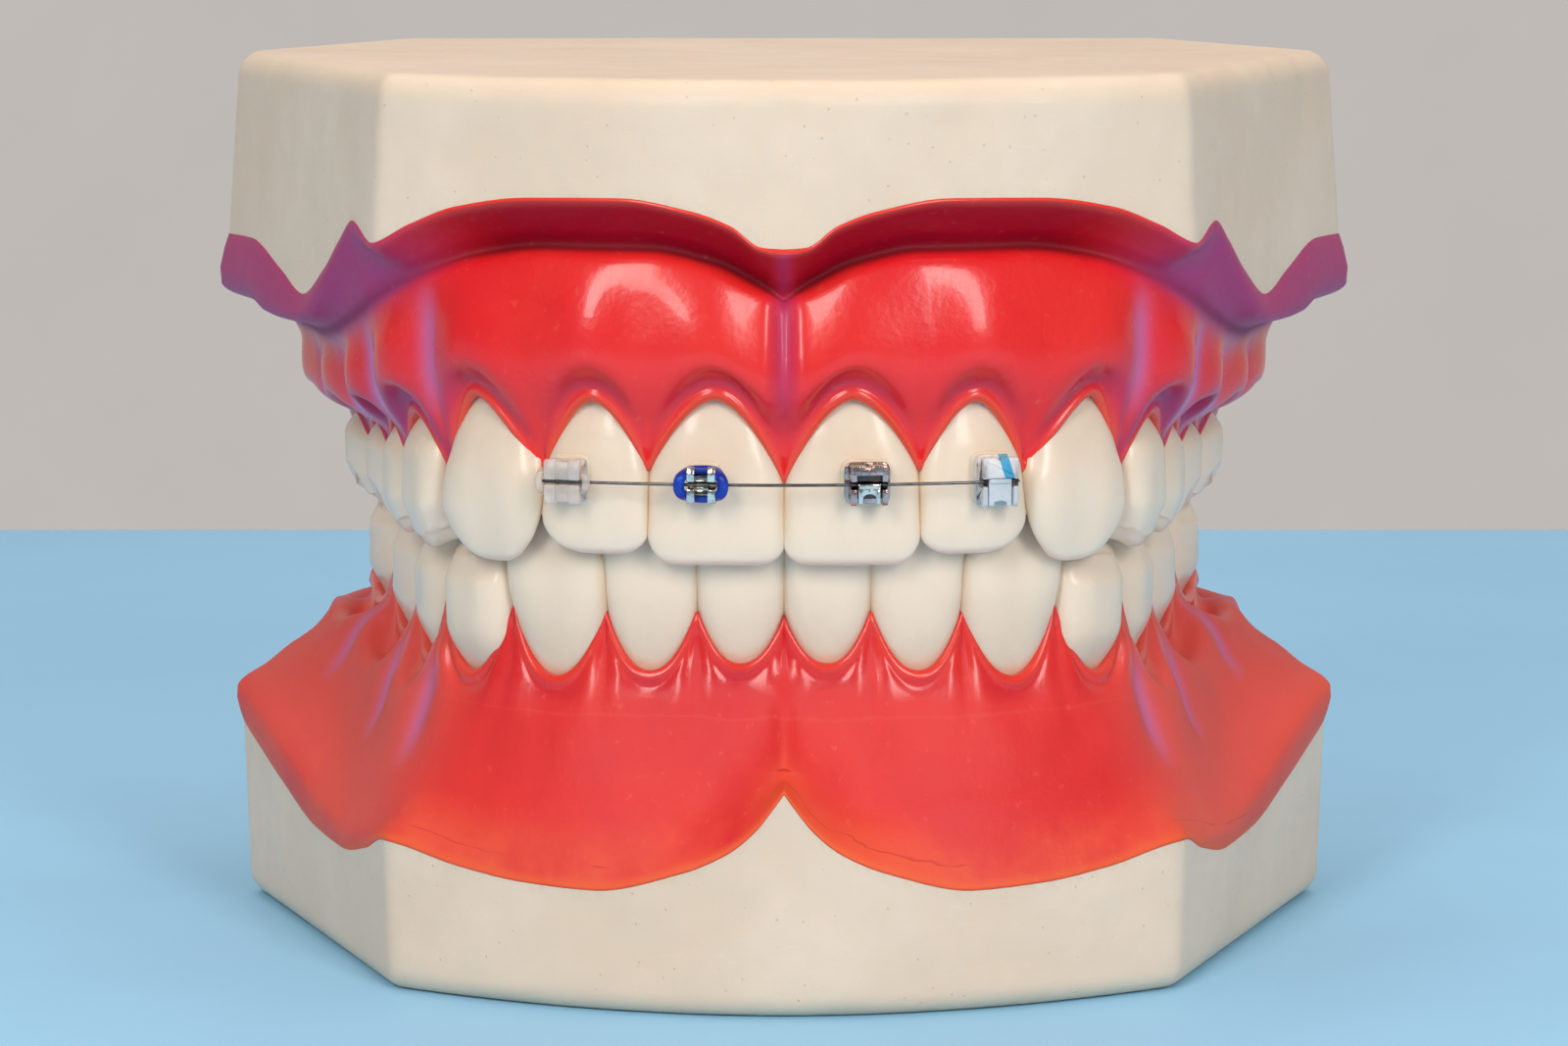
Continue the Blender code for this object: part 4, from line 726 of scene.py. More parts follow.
gum = {
    "columns": 620, "rimLift": 0.07, "lipOut": -0.42, "papillaDip": 0.75, "ridgeWall": 2.0,
    "sideDip": {"upper": 0.10, "lower": -0.35},
    "rimDrop": 0.12, "foldRoom": 0.72, "bulgeRoom": 0.55, "hemShare": {"upper": 0.72, "lower": 0.5},
    "bulgeSpread": 2.6, "tongueMargin": {"upper": 35.0, "lower": 23.6}, "centreHeight": {"upper": 46.5, "lower": 15.5},
    "heelSunk": {"upper": ((-1.5, 0, 4),), "lower": ((1.8, -3, 2), (0.8, 0, 5))},  # depth, from, to
    "sides": (16.0, 26.0), "farSides": (19.0, 27.0),  # arc lengths over which they begin
    "edgeRows": (  # out from the lip, more at the sides, spread of the margin, height
        (0.62, 0.35, 1.1, 1.9), (0.32, 0, 0.45, 1.0), (0.30, 0, 0, 0.45), (0.14, 0, 0, 0.06), (-0.45, 0, 0, 0.10)),
    "innerRow": (-2.1, 0.4),  # out from the arch, and height over the margin
    "tongueRows": ((2.6, 0), (1.2, 0.15), (0, 1.6)),  # out from the ridge's back, height over its margin
    "domePower": {"upper": 0.9, "lower": 0.55}, "waves": 0.06,
    "ribs": {"upper": 0.13, "lower": 0.02}, "sideRibs": 0.20, "furrows": 0.30,
    "rollShare": {"upper": 1.0, "lower": 0.6}, "rollFade": {"upper": 0.0, "lower": 0.3},
    "roll": (0.13, 0.42, 0.28), "groove": (0.09, 1.20, 0.42),  # height, distance from the margin, width
    "frenum": {"upper": 0.75, "lower": 0.35}, "frenumWidth": 0.7, "foldFrenum": 0.45, "foldFrenumWidth": 0.8,
    "rowCounts": (2, 3, 9, 9, 8, 12, 18, 12, 8, 6, 5, 4, 6, 4, 5, 6, 8, 9),
    "upperFoldOut": ((0.0, -0.9), (20.0, -1.1), (27.0, 1.2), (34.0, 3.0), (45.0, 3.6), (80.0, 3.6)),
    "upperFoldHeight": (
        (0.0, 44.6), (1.5, 45.4), (4.5, 46.8), (9.0, 47.6), (16.0, 47.6), (22.0, 47.0),
        (28.0, 45.2), (34.0, 42.8), (41.0, 40.9), (48.0, 40.2), (80.0, 39.8)),
    "upperBulgeOut": ((0.0, 0.9), (20.0, 1.1), (27.0, 1.3), (40.0, 2.2), (50.0, 2.6), (80.0, 2.4)),
    "lowerFoldOut": ((0.0, 3.6), (6.0, 2.7), (20.0, 2.8), (30.0, 3.4), (45.0, 4.2), (57.0, 5.8), (80.0, 4.0)),
    "lowerFoldHeight": ((0.0, 15.0), (6.0, 12.6), (20.0, 12.6), (40.0, 13.0), (57.0, 16.8), (80.0, 17.0)),
    "lowerBulgeOut": ((0.0, 1.0), (20.0, 1.1), (40.0, 1.6), (57.0, 2.2), (80.0, 2.2)),
    "upperBulgeLevel": ((0.0, 0.35), (22.0, 0.38), (42.0, 0.36), (80.0, 0.36)),
    "lowerBulgeLevel": ((0.0, 0.56), (22.0, 0.54), (42.0, 0.36), (80.0, 0.36)),
    "hemDrop": ((0.0, 0.3), (26.0, 0.3), (31.0, 0.7), (41.0, 2.2), (50.0, 3.6), (60.0, 3.4), (80.0, 3.0)),
    "hemOut": ((0.0, 0.0), (27.0, 0.0), (41.0, 0.3), (80.0, 0.3)),
}


def jawColumns(arch):
    # each column: arc length, arch point, outward direction, the outline point that this direction
    # meets, its length along the outline, and the point on the middle line where the column ends
    last = arch.length[-1]
    s = np.linspace(-last, last, gum["columns"] | 1)  # an odd count, so one column is in the middle
    s[len(s) // 2] = 1e-6
    point, outward = arch.place(s)
    heel = arch.heel(s)[:, None]
    straight = np.stack([np.where(s < 0, -1.0, 1.0), np.zeros(len(s))], 1)
    outward = outward * (1 - heel) + straight * heel
    outward /= np.linalg.norm(outward, axis=1, keepdims=True)
    point[[0, -1], 1] = base["depth"]
    side = np.where(s < 0, -1.0, 1.0)
    gap = outline[None] * np.stack([side, np.ones(len(s))], 1)[:, None] - point[:, None]
    cross = gap[..., 0] * outward[:, None, 1] - gap[..., 1] * outward[:, None, 0]
    ahead = (gap * outward[:, None]).sum(-1) > 0
    hits = (cross[:, :-1] * cross[:, 1:] <= 0) & ahead[:, :-1]
    i = np.where(hits.any(1), hits.argmax(1), len(outline) - 2)
    rows = np.arange(len(s))
    share = cross[rows, i] / (cross[rows, i] - cross[rows, i + 1] + 1e-12)
    share = np.clip(share, 0, 1)[:, None]
    rim = (outline[i] + share * (outline[i + 1] - outline[i])) * np.stack([side, np.ones(len(s))], 1)
    along = outlineLength[i] + share[:, 0] * (outlineLength[i + 1] - outlineLength[i])
    rim[[0, -1]] = [(-base["backHalfWidth"], base["depth"]), (base["backHalfWidth"], base["depth"])]
    along[[0, -1]] = outlineLength[-1]
    ends = np.stack([np.zeros(len(s)), np.maximum(point[:, 1], base["fanCentre"])], 1)
    return s, point, outward, rim, along, ends


def flared(rim, height, up):
    # the outline at a height: each base gets wider towards its seam
    gain = base["upperFlare"] * (base["height"] - height) if up else base["lowerFlare"] * height
    return np.column_stack([rim[:, 0] * (1 + gain), rim[:, 1], height])


def seamRows(arch, rim, along, ends):
    # the surface between base and gum: straight inward in plan, rising by a smooth step
    middle = base[arch.jaw + "SeamCentre"]
    edge = smoothCurve(base[arch.jaw + "Seam"], along)
    outer = flared(rim, edge, arch.up)
    rows = []
    for share in (0.0, 0.06, 0.22, 0.5, 1.0):
        plan = outer[:, :2] + (ends - outer[:, :2]) * share
        rows.append(np.column_stack([plan, edge + (middle - edge) * share * share * (3 - 2 * share)]))
    return rows


def baseShape(arch):
    # wall from the seam to the rounded edge, then the flat face to its middle, and the seam surface
    s, *_, rim, along, ends = jawColumns(arch)
    seam = seamRows(arch, rim, along, ends)
    flat = base["height"] if arch.up else 0.0
    into = -1.0 if arch.up else 1.0
    crease = base["creaseDepth"] * hump(rim[:, 0], 0, 1.6) if arch.up else np.zeros(len(s))
    edge = seam[0][:, 2]
    wall, arris, seamDistance = [], [], []

    def add(row, wear, distance):
        wall.append(row)
        arris.append(np.full(len(s), wear))
        seamDistance.append(np.broadcast_to(distance, len(s)))

    for share in np.linspace(0, 1, 14):
        height = edge + (flat + into * base["edgeRadius"] - edge) * share
        row = flared(rim, height, arch.up)
        row[:, 1] += crease * share
        add(row, ramp(share, 0.8, 1.0) * 0.3, np.abs(height - edge))
    centre = np.array([0.0, base["depth"]])
    for turn in np.radians(np.linspace(0, 90, 9))[1:]:
        drop = base["edgeRadius"] * (1 - math.sin(turn))
        inset = base["edgeRadius"] * (1 - math.cos(turn))
        row = flared(rim, np.full(len(s), flat + into * drop), arch.up)
        reach = np.linalg.norm(row[:, :2] - centre, axis=1)
        row[:, :2] = centre + (row[:, :2] - centre) * (1 - inset / np.maximum(reach, 1))[:, None]
        row[:, 1] += crease * (1 - 0.5 * turn)
        add(row, math.sin(2 * turn), 9.0)
    rounded = wall[-1]
    for share in (0.03, 0.12, 0.3, 0.6, 1.0):
        plan = rounded[:, :2] + (ends - rounded[:, :2]) * share
        add(np.column_stack([plan, np.full(len(s), flat)]), 0.0, 9.0)
    top, skirt = np.stack(seam[::-1], 1), np.stack(wall, 1)
    loop = np.concatenate([top[0], skirt[0][1:], skirt[-1][-2::-1], top[-1][-2:0:-1]])
    marks = {"arris": np.stack(arris, 1), "seamDistance": np.stack(seamDistance, 1)}
    return {"grids": [(top, False, {"seamDistance": 9.0}), (skirt, False, marks)], "caps": [loop]}


def gumShape(arch):
    # a curve through rows of points across each column: rim, hem, fold, bulge and rolled margin, then
    # the tongue side and the palate or floor. Ribs over the roots, a frenum ridge and the margin's
    # roll are added outward in plan; behind the last molar the whole margin sinks
    s, point, outward, rim, along, ends = jawColumns(arch)
    up, down = arch.up, arch.rootward
    seam = seamRows(arch, rim, along, ends)
    beyond = np.abs(s) - arch.limits[-1]
    sunk = sum(deep * ramp(beyond, start, end) for deep, start, end in gum["heelSunk"][arch.jaw])
    margin, softMargin = arch.margin(s) - sunk, arch.margin(s, gum["bulgeSpread"]) - sunk
    foldOut, foldHeight, bulgeOut, bulgeLevel = (
        smoothCurve(gum[arch.jaw + word], along) for word in ("FoldOut", "FoldHeight", "BulgeOut", "BulgeLevel"))
    room = np.einsum("ij,ij->i", seam[0][:, :2] - point, outward)  # from the arch to the outline
    foldOut = np.minimum(foldOut, gum["foldRoom"] * room)
    bulgeOut = np.minimum(bulgeOut, gum["bulgeRoom"] * room)
    middles = (arch.limits[:-1] + arch.limits[1:]) / 2
    depth = np.interp(np.abs(s), middles, [tooth[6] for tooth in arch.teeth])
    back = -(depth + gum["ridgeWall"])
    heel = arch.heel(s)
    sides = ramp(np.abs(s), *gum["sides"])
    index, phase = arch.phase(s)
    near = np.abs(2 * phase - 1)
    scallop = (0.5 + 0.5 * np.cos(2 * math.pi * phase)) * (1 - heel)
    tongueMargin = gum["tongueMargin"][arch.jaw] + down * (1.2 * heel + 0.7 * (1 - scallop) - 0.7)
    lip = gum["lipOut"] - (gum["papillaDip"] + gum["sideDip"][arch.jaw] * sides) * near ** 2
    bulgeHeight = softMargin + (foldHeight - softMargin) * bulgeLevel

    def at(out, height):
        return np.column_stack([point + outward * np.broadcast_to(out, s.shape)[:, None], height + 0 * s])

    edge = seam[0].copy()
    seamHeight = edge[:, 2]
    lifted = edge.copy()
    lifted[:, :2] += outward * gum["rimLift"]
    lifted[:, 2] -= down * gum["rimDrop"]
    most = gum["hemShare"][arch.jaw] * np.abs(seamHeight - foldHeight)
    drop = np.minimum(smoothCurve(gum["hemDrop"], along), most)
    hem = flared(rim, seamHeight - down * drop, up)
    hem[:, :2] += outward * (smoothCurve(gum["hemOut"], along) + 0.03)[:, None]
    fold = at(foldOut - 0.2 * up, foldHeight)
    hollow = hem + (fold - hem) * 0.6
    hollow[:, :2] -= outward * 0.08 * up
    brow = at(foldOut + (0.40 + 0.22 * sides) * (bulgeOut - foldOut), foldHeight - down * (0.75 + 0.3 * sides))
    if not up:
        brow = at(foldOut + 0.45 * (bulgeOut - foldOut), foldHeight + 0.38 * (bulgeHeight - foldHeight))
    lipRows = [at(lip + out + more * sides, arch.margin(s, spread) - sunk + down * rise)
               for out, more, spread, rise in gum["edgeRows"]]
    innerOut, innerRise = gum["innerRow"]
    tongueRows = [at(back + out, tongueMargin + down * rise) for out, rise in gum["tongueRows"]]
    rows = [edge, lifted, hem, hollow, fold, brow, at(bulgeOut, bulgeHeight), *lipRows,
            at(innerOut, margin + down * innerRise), *tongueRows]
    # from the last row to the middle of the palate or floor
    inner, centreHeight = rows[-1], gum["centreHeight"][arch.jaw]
    for share in (0.16, 0.45, 1.0):
        blend = math.sin(share * math.pi / 2) ** gum["domePower"][arch.jaw]
        plan = inner[:, :2] + (ends - inner[:, :2]) * share
        rows.append(np.column_stack([plan, inner[:, 2] + (centreHeight - inner[:, 2]) * blend]))
    surface = throughRows(rows, gum["rowCounts"])
    # row counts on from 0 at the rim: 2 hem, 4 fold, 6 bulge, 10 margin
    row = np.concatenate([k + np.arange(count) / count for k, count in enumerate(gum["rowCounts"])])
    row = np.broadcast_to(row[None], surface.shape[:2])
    above = (surface[..., 2] - margin[:, None]) * down
    slope = np.gradient(margin, s)
    distance = above / np.sqrt(1 + slope[:, None] ** 2)
    front = (row >= 4.5) & (row < 10.5)
    # ribs over the roots: strong at the sides, soft at the front
    span = np.clip((foldHeight - softMargin) * down, 2.0, None)[:, None]
    height = (surface[..., 2] - softMargin[:, None]) * down / span
    body = ramp(height, 0.05, 0.4) * (1 - ramp(height, 0.6, 1.0))
    side, bare = sides[:, None], 1 - heel[:, None]
    gap = np.minimum(phase, 1 - phase) * np.diff(arch.limits)[index]
    swell = np.cos(2 * math.pi * (phase - 0.5))[:, None]
    ribs = (gum["ribs"][arch.jaw] + gum["sideRibs"] * side) * body * swell * bare
    furrows = -gum["furrows"] * side * body * hump(gap, 0, 0.9)[:, None] * bare
    waves = gum["waves"] * body * (np.sin(0.9 * s + 0.8) + np.sin(0.43 * s + 2.0))[:, None]
    # rolled lip along the margin and a shallow groove behind it
    roll, groove = (most * hump(distance, *place) for most, *place in (gum["roll"], gum["groove"]))
    roll = roll - groove * (1 - 0.6 * near[:, None])
    roll = roll * (gum["rollShare"][arch.jaw] - gum["rollFade"][arch.jaw] * side) * (1 - ramp(heel, 0, 0.25))[:, None]
    ridge = hump(s, 0, gum["frenumWidth"])[:, None]
    frenum = gum["frenum"][arch.jaw] * ridge * ramp(height, 0.15, 0.5) * front
    if up:
        crossing = ramp(row, 1.2, 2.6) * (1 - ramp(row, 3.9, 4.8))  # where it crosses the fold
        frenum = frenum + gum["foldFrenum"] * hump(s, 0, gum["foldFrenumWidth"])[:, None] * crossing
    added = np.where(front, ribs + furrows + waves + roll, 0) + frenum
    surface[..., :2] += outward[:, None] * added[..., None]
    rimDistance = np.where(row < 6, np.linalg.norm(surface - surface[:, :1], axis=-1), 9.0)
    # what the finish reads: painted shade in the fold and its crease, a painted violet reflection, painted sheen lines
    # on the ridges and painted shade in the hollow above each tooth
    foldDepth = ramp(row, 1.0, 1.7) * (1 - ramp(row, 4.15, 4.75)) * (1 - side) if up else 0 * row
    creaseDepth = hump(row, 4.15, 0.4) * (1 - 0.5 * side) if up else 0 * row
    foldDepth, creaseDepth = (mark * (1 - 0.75 * ridge) for mark in (foldDepth, creaseDepth))
    far = ramp(np.abs(s), *gum["farSides"])[:, None] * bare
    # where the painted sheen lines lie, between the roots
    line = hump(gap, 0, 0.75)[:, None] * body * front * far * (1 - ramp(heel, 0, 0.12))[:, None]
    # where the painted violet reflection lies
    film = far * (1 - ramp(row, 4.2, 5.4)) if up else 0.55 * far * ramp(row, 0.5, 3.0)
    film = np.maximum(film, 0.7 * hump(s, 0, 0.75)[:, None] * ramp(row, 1.0, 2.0) * (1 - ramp(row, 5.0, 7.5)) * up)
    film = np.maximum(film, far * hump(distance, 1.1, 0.9) * front * (0.8 if up else 0.0))
    # where the painted shade in the hollow above each tooth lies
    shade = hump(distance, 1.15, 0.45) * (1 - near[:, None] ** 2) * front * (1.0 if up else 0.35 * (1 - side))
    marks = {
        "rimDistance": rimDistance, "marginDistance": np.where(row < 12, np.abs(distance), 3.0),
        "foldDepth": foldDepth, "creaseDepth": creaseDepth, "film": film, "sheenLine": line, "shade": shade,
        "lowerJaw": 0.0 if up else 1.0, "thinEdge": 0.22 - 0.18 * side if up else 0.85,
    }
    beneath = np.stack(seam[::-1], 1)
    loop = np.concatenate([surface[0], surface[-1][-2::-1], beneath[-1][-2::-1], beneath[0][1:-1]])
    plain = {"rimDistance": 9.0, "marginDistance": 9.0, "lowerJaw": marks["lowerJaw"]}
    return {"grids": [(surface, False, marks), (beneath, False, plain)], "caps": [loop]}


for arch in (upperArch, lowerArch):
    makePiece(arch.jaw + "_base", baseShape(arch), castResinFinish, 60)
    makePiece(arch.jaw + "_gum", gumShape(arch), gumFinish, 60)
print("bases and gums made")


# Braces: shared sizes, with the slot's centre at (0, 0, 0): x along the wire, y back, z up

braces = {
    "wireHeight": 33.2, "standoff": 1.385, "wireDiameter": 0.20, "leftReach": 1.45, "rightReach": 1.35,
    "wireBlunt": 0.12, "slotFloor": 0.20, "padFront": 0.75, "padBack": 1.05, "wingRoot": 0.06,
    "doorBack": -0.20, "doorGap": 0.02, "doorBend": 0.20,
}
ring = {"beside": 0.18, "below": 0.04, "clear": 0.08, "squareness": 0.80, "sideSwell": 0.18}
paste = {"proud": 0.06, "spread": 0.20, "corner": 0.6, "height": 0.30, "into": 1.1}
# side and tooth say where each bracket sits, beyond how far past the tooth's middle; fill is the
# body between the wings, and door, lid, doorTop and notch are the sliding door's sizes
clearTwin = {
    "side": -1, "tooth": 1, "beyond": 1.475, "width": 2.3, "height": 2.8, "wing": 0.75, "stem": 0.72,
    "front": 0.62, "ring": 0.4, "slot": 0.30, "fill": 1.1, "fillFront": 0.50}
steelTwin = {
    "side": -1, "tooth": 0, "beyond": 0.775, "width": 1.8, "height": 2.24, "wing": 0.5, "stem": 0.55,
    "front": 0.55, "ring": 0.58, "slot": 0.46, "fill": 0.1, "fillFront": -0.02}
steelSlider = {
    "side": 1, "tooth": 0, "beyond": 0.925, "width": 2.3, "height": 2.5, "stem": 0.72, "front": 0.62,
    "slot": 0.46, "door": 1.5, "pad": 2.85, "lid": 0.62, "doorTop": 0.10, "notch": 0.31}
clearSlider = {
    "side": 1, "tooth": 1, "beyond": 1.125, "width": 2.3, "height": 3.1, "stem": 0.95, "front": 0.62,
    "slot": 0.46, "door": 1.6, "pad": 2.55, "lid": 0.26, "doorTop": 0.24, "notch": 0.15}


def bracketPlace(size):
    # how far across the model its slot's centre lies
    middle = (upperArch.limits[size["tooth"]] + upperArch.limits[size["tooth"] + 1]) / 2
    return size["side"] * (middle + size["beyond"])


# the wire is the parabola through the slots of both twin brackets
nearPlace, farPlace = abs(bracketPlace(steelTwin)), abs(bracketPlace(clearTwin))
nearBack, farBack = (float(np.interp(x, upperArch.line[:, 0], upperArch.line[:, 1])) - braces["standoff"]
                     for x in (nearPlace, farPlace))
wireBend = (farBack - nearBack) / (farPlace ** 2 - nearPlace ** 2)
wireFront = nearBack - wireBend * nearPlace ** 2


def onBracket(size, points):
    # from a bracket's own axes to the model: turned with the wire and moved to the slot's centre
    x = bracketPlace(size)
    slope = 2 * wireBend * x
    unit = math.hypot(1, slope)
    along, back = np.array([1, slope]) / unit, np.array([-slope, 1]) / unit
    plan = points[..., :1] * along + points[..., 1:2] * back + (x, wireFront + wireBend * x * x)
    return np.concatenate([plan, points[..., 2:] + braces["wireHeight"]], -1)


def roundCorners(points, radius, steps=4):
    # each corner becomes a quadratic curve between points a radius away along its two sides
    p = np.asarray(points, float)
    before, after = np.roll(p, 1, 0) - p, np.roll(p, -1, 0) - p
    reach = [np.minimum(radius, 0.45 * np.linalg.norm(way, axis=1))[:, None] for way in (before, after)]
    a = p + before / np.linalg.norm(before, axis=1, keepdims=True) * reach[0]
    b = p + after / np.linalg.norm(after, axis=1, keepdims=True) * reach[1]
    t = np.linspace(0, 1, steps)[None, :, None]
    return ((1 - t) ** 2 * a[:, None] + 2 * t * (1 - t) * p[:, None] + t * t * b[:, None]).reshape(-1, 2)


def rolledSlab(outline, start, end, radius, order, size, bend=0.0):
    # an outline carried along a third axis; near both ends it draws in along a quarter circle.
    # order says which of x, y and z the outline's two axes and the third are; bend bows the slab
    # back by that much times x squared
    line = np.asarray(outline, float)
    tangent = np.roll(line, -1, 0) - np.roll(line, 1, 0)
    tangent /= np.maximum(np.linalg.norm(tangent, axis=1, keepdims=True), 1e-9)
    normal = np.stack([tangent[:, 1], -tangent[:, 0]], 1)
    area = (line[:, 0] * np.roll(line[:, 1], -1) - np.roll(line[:, 0], -1) * line[:, 1]).sum()
    normal *= 1 if area > 0 else -1
    turn = np.linspace(0, math.pi / 2, 4)
    place = np.sort(np.concatenate([start + radius * (1 - np.sin(turn)), end - radius * (1 - np.sin(turn))]))
    near = np.minimum(place - start, end - place)
    inset = np.where(near < radius, radius - np.sqrt(np.maximum(0, radius ** 2 - (radius - near) ** 2)), 0)
    rings = line[None] - normal[None] * inset[:, None, None]
    third = np.broadcast_to(place[:, None, None], (*rings.shape[:2], 1))
    local = np.concatenate([rings, third], -1)
    points = np.empty_like(local)
    points[..., order] = local
    points[..., 1] += bend * points[..., 0] ** 2
    recess = ramp(points[..., 1], -0.42, -0.22) * (1 - ramp(points[..., 1], 0.5, 0.7))
    grid = onBracket(size, points)
    return grid.transpose(1, 0, 2), [grid[0], grid[-1]], {"recess": recess.T}


def slabs(size, *parts, bend=0.0):
    # each part: outline, start, end, edge radius and order
    grids, caps = [], []
    for part in parts:
        grid, ends, marks = rolledSlab(*part, size, bend)
        grids.append((grid, True, marks))
        caps += ends
    return {"grids": grids, "caps": caps}


acrossOrder, facingOrder = [1, 2, 0], [0, 2, 1]


def tube(path, radius, around, closed, reference):
    # a circle carried along a path; its first axis is the reference with the tangent taken out
    step = np.roll(path, -1, 0) - np.roll(path, 1, 0) if closed else np.gradient(path, axis=0)
    step /= np.linalg.norm(step, axis=1, keepdims=True)
    first = reference - (step @ reference)[:, None] * step
    first /= np.linalg.norm(first, axis=1, keepdims=True)
    second = np.cross(step, first)
    turn = np.arange(around) * 2 * math.pi / around
    radius = np.broadcast_to(radius, len(path))[:, None, None]
    return path[:, None] + radius * (np.cos(turn)[None, :, None] * first[:, None]
                                     + np.sin(turn)[None, :, None] * second[:, None])


def wingSection(size, front=None):
    # from top to bottom: pad, waist, tie wing and one side of the slot, then mirrored below
    half, stem = size["height"] / 2, size["stem"]
    front = size["front"] if front is None else front
    slot, padFront = size["slot"] / 2, braces["padFront"]
    upper = [
        (braces["padBack"], half - 0.08), (padFront, half - 0.08), (padFront - 0.12, stem), (0.06, stem),
        (-0.08, half - 0.06), (-0.16, half), (-0.40, half), (-front + 0.04, half - 0.22),
        (-front, half - 0.40), (-front, slot), (braces["slotFloor"], slot)]
    return upper + [(y, -z) for y, z in reversed(upper)]


def rounded(width, height, radius, lift=0.0):
    # a rectangle with round corners, its middle lifted
    x, z = width / 2, height / 2
    return roundCorners([(x, z + lift), (-x, z + lift), (-x, lift - z), (x, lift - z)], radius, 6)


def ringPath(size, turn):
    # a superellipse under the tie wings above and below, and in front of the wire at each side
    radius, halfWidth = size["ring"] / 2, size["width"] / 2
    reach, rise = halfWidth + ring["beside"] + radius, size["stem"] + ring["below"] + radius
    behind = braces["wingRoot"] + ring["clear"] + radius
    ahead = -(braces["wireDiameter"] / 2 + ring["clear"] + radius)
    x = reach * np.sign(np.cos(turn)) * np.abs(np.cos(turn)) ** ring["squareness"]
    z = rise * np.sign(np.sin(turn)) * np.abs(np.sin(turn)) ** ring["squareness"]
    over = ramp(np.abs(x), halfWidth - 0.10, reach - 0.05)
    return onBracket(size, np.stack([x, behind + (ahead - behind) * over, z], 1))


def twinShape(size, radius):
    # two pairs of tie wings, a lower body between them, and the pad
    half, mouth = size["width"] / 2, size["width"] / 2 - size["wing"]
    section = roundCorners(wingSection(size), radius, 4)
    lower = {**size, "height": 2 * size["stem"] + size["fill"]}
    body = roundCorners(wingSection(lower, size["fillFront"]), radius, 3)
    pad = rounded(size["width"] + 0.12, size["height"] - 0.1, 0.35)
    return slabs(size, (section, -half, -mouth, radius, acrossOrder), (section, mouth, half, radius, acrossOrder),
                 (body, -mouth - 0.05, mouth + 0.05, 0.02, acrossOrder),
                 (pad, braces["padFront"], braces["padBack"], 0.06, facingOrder))


def sliderShape(size, radius):
    # winged walls on both sides of the door, the body behind it, a notched cap above and the pad
    half, door = size["width"] / 2, size["door"] / 2 + braces["doorGap"]
    section = roundCorners(wingSection(size), radius, 4)
    back = [(max(y, braces["doorBack"]), z) for y, z in wingSection(size)]
    body = roundCorners([(y, z) for y, z in back if abs(z) < size["height"] / 2 - 0.3], 0.03, 3)
    top, lid = size["height"] / 2, size["lid"]
    cap = [(-half, lid), (half, lid), (half, top - 0.1), (half - 0.1, top), (0.26, top), (0.12, top - 0.16),
           (-0.12, top - 0.16), (-0.26, top), (-half + 0.1, top), (-half, top - 0.1)]
    pad = rounded(size["pad"], size["height"] + 0.12, 0.6)
    return slabs(size, (section, -half, -door, radius, acrossOrder), (section, door, half, radius, acrossOrder),
                 (body, -door - 0.05, door + 0.05, 0.02, acrossOrder),
                 (roundCorners(cap, 0.07), -size["front"], 0.1, radius, facingOrder),
                 (pad, braces["padFront"], braces["padBack"], 0.08, facingOrder))


def doorShape(size):
    # a bowed plate with an arched notch at its foot and a rounded grip bar across its top
    half, foot = size["door"] / 2, 0.12 - size["height"] / 2
    rear, front = braces["doorBack"] - braces["doorGap"], 0.03 - size["front"]
    top, halfNotch = size["doorTop"], 0.42
    turn = np.linspace(0, math.pi, 9)
    notch = np.stack([halfNotch * np.cos(turn), foot + size["notch"] * (1 + np.sin(turn))], 1)
    plate = np.concatenate([
        [(half - 0.06, top), (-half + 0.06, top), (-half + 0.06, foot), (-halfNotch, foot)],
        notch[::-1], [(halfNotch, foot), (half - 0.06, foot)]])
    bar = rounded(size["door"] - 0.14, 0.30, 0.12, top - 0.16)
    return slabs(size, (plate, front + 0.05, rear, 0.04, facingOrder),
                 (bar, front - 0.02, rear - 0.05, 0.06, facingOrder), bend=braces["doorBend"])


def pasteShape(size):
    # a cushion that spreads from the pad's edge by a quarter circle and ends inside the tooth
    width, height = size.get("pad", size["width"]) + paste["proud"], size["height"] + paste["proud"]
    rings = []
    for turn in np.linspace(0, math.pi / 2, 6):
        spread = paste["spread"] * (1 - math.cos(turn))
        line = rounded(width + spread, height + spread, paste["corner"] + spread / 2)
        depth = braces["padBack"] - paste["proud"] + paste["height"] * math.sin(turn)
        rings.append(np.column_stack([line[:, 0], np.full(len(line), depth), line[:, 1]]))
    rings.append(rings[-1] + (0, paste["into"], 0))
    grid = onBracket(size, np.stack(rings, 1))
    return {"grids": [(grid, True, {})], "caps": [grid[:, 0], grid[:, -1]]}


def wireShape():
    # the parabola through all four slots, its ends drawn in to a blunt point
    left = bracketPlace(clearTwin) - braces["leftReach"]
    right = bracketPlace(clearSlider) + braces["rightReach"]
    x = np.linspace(left, right, 240)
    path = np.stack([x, wireFront + wireBend * x * x, np.full(len(x), braces["wireHeight"])], 1)
    end = np.minimum(x - left, right - x)
    radius = braces["wireDiameter"] / 2 * np.sqrt(np.clip(end / braces["wireBlunt"], 0.05, 1))
    grid = tube(path, radius, 20, False, np.array([0.0, 0.0, 1.0])).transpose(1, 0, 2)
    return {"grids": [(grid, True, {})], "caps": [grid[:, 0], grid[:, -1]]}


def ringShape(size):
    # a tube along the ring's path, thicker where it bulges out at both sides
    turn = np.arange(120) * 2 * math.pi / 120
    radius = size["ring"] / 2 * (1 + ring["sideSwell"] * np.cos(turn) ** 2)
    grid = tube(ringPath(size, turn), radius, 20, True, np.array([0.0, 1.0, 0.0]))
    grid = np.concatenate([grid, grid[:, :1]], 1)
    return {"grids": [(grid, True, {})]}


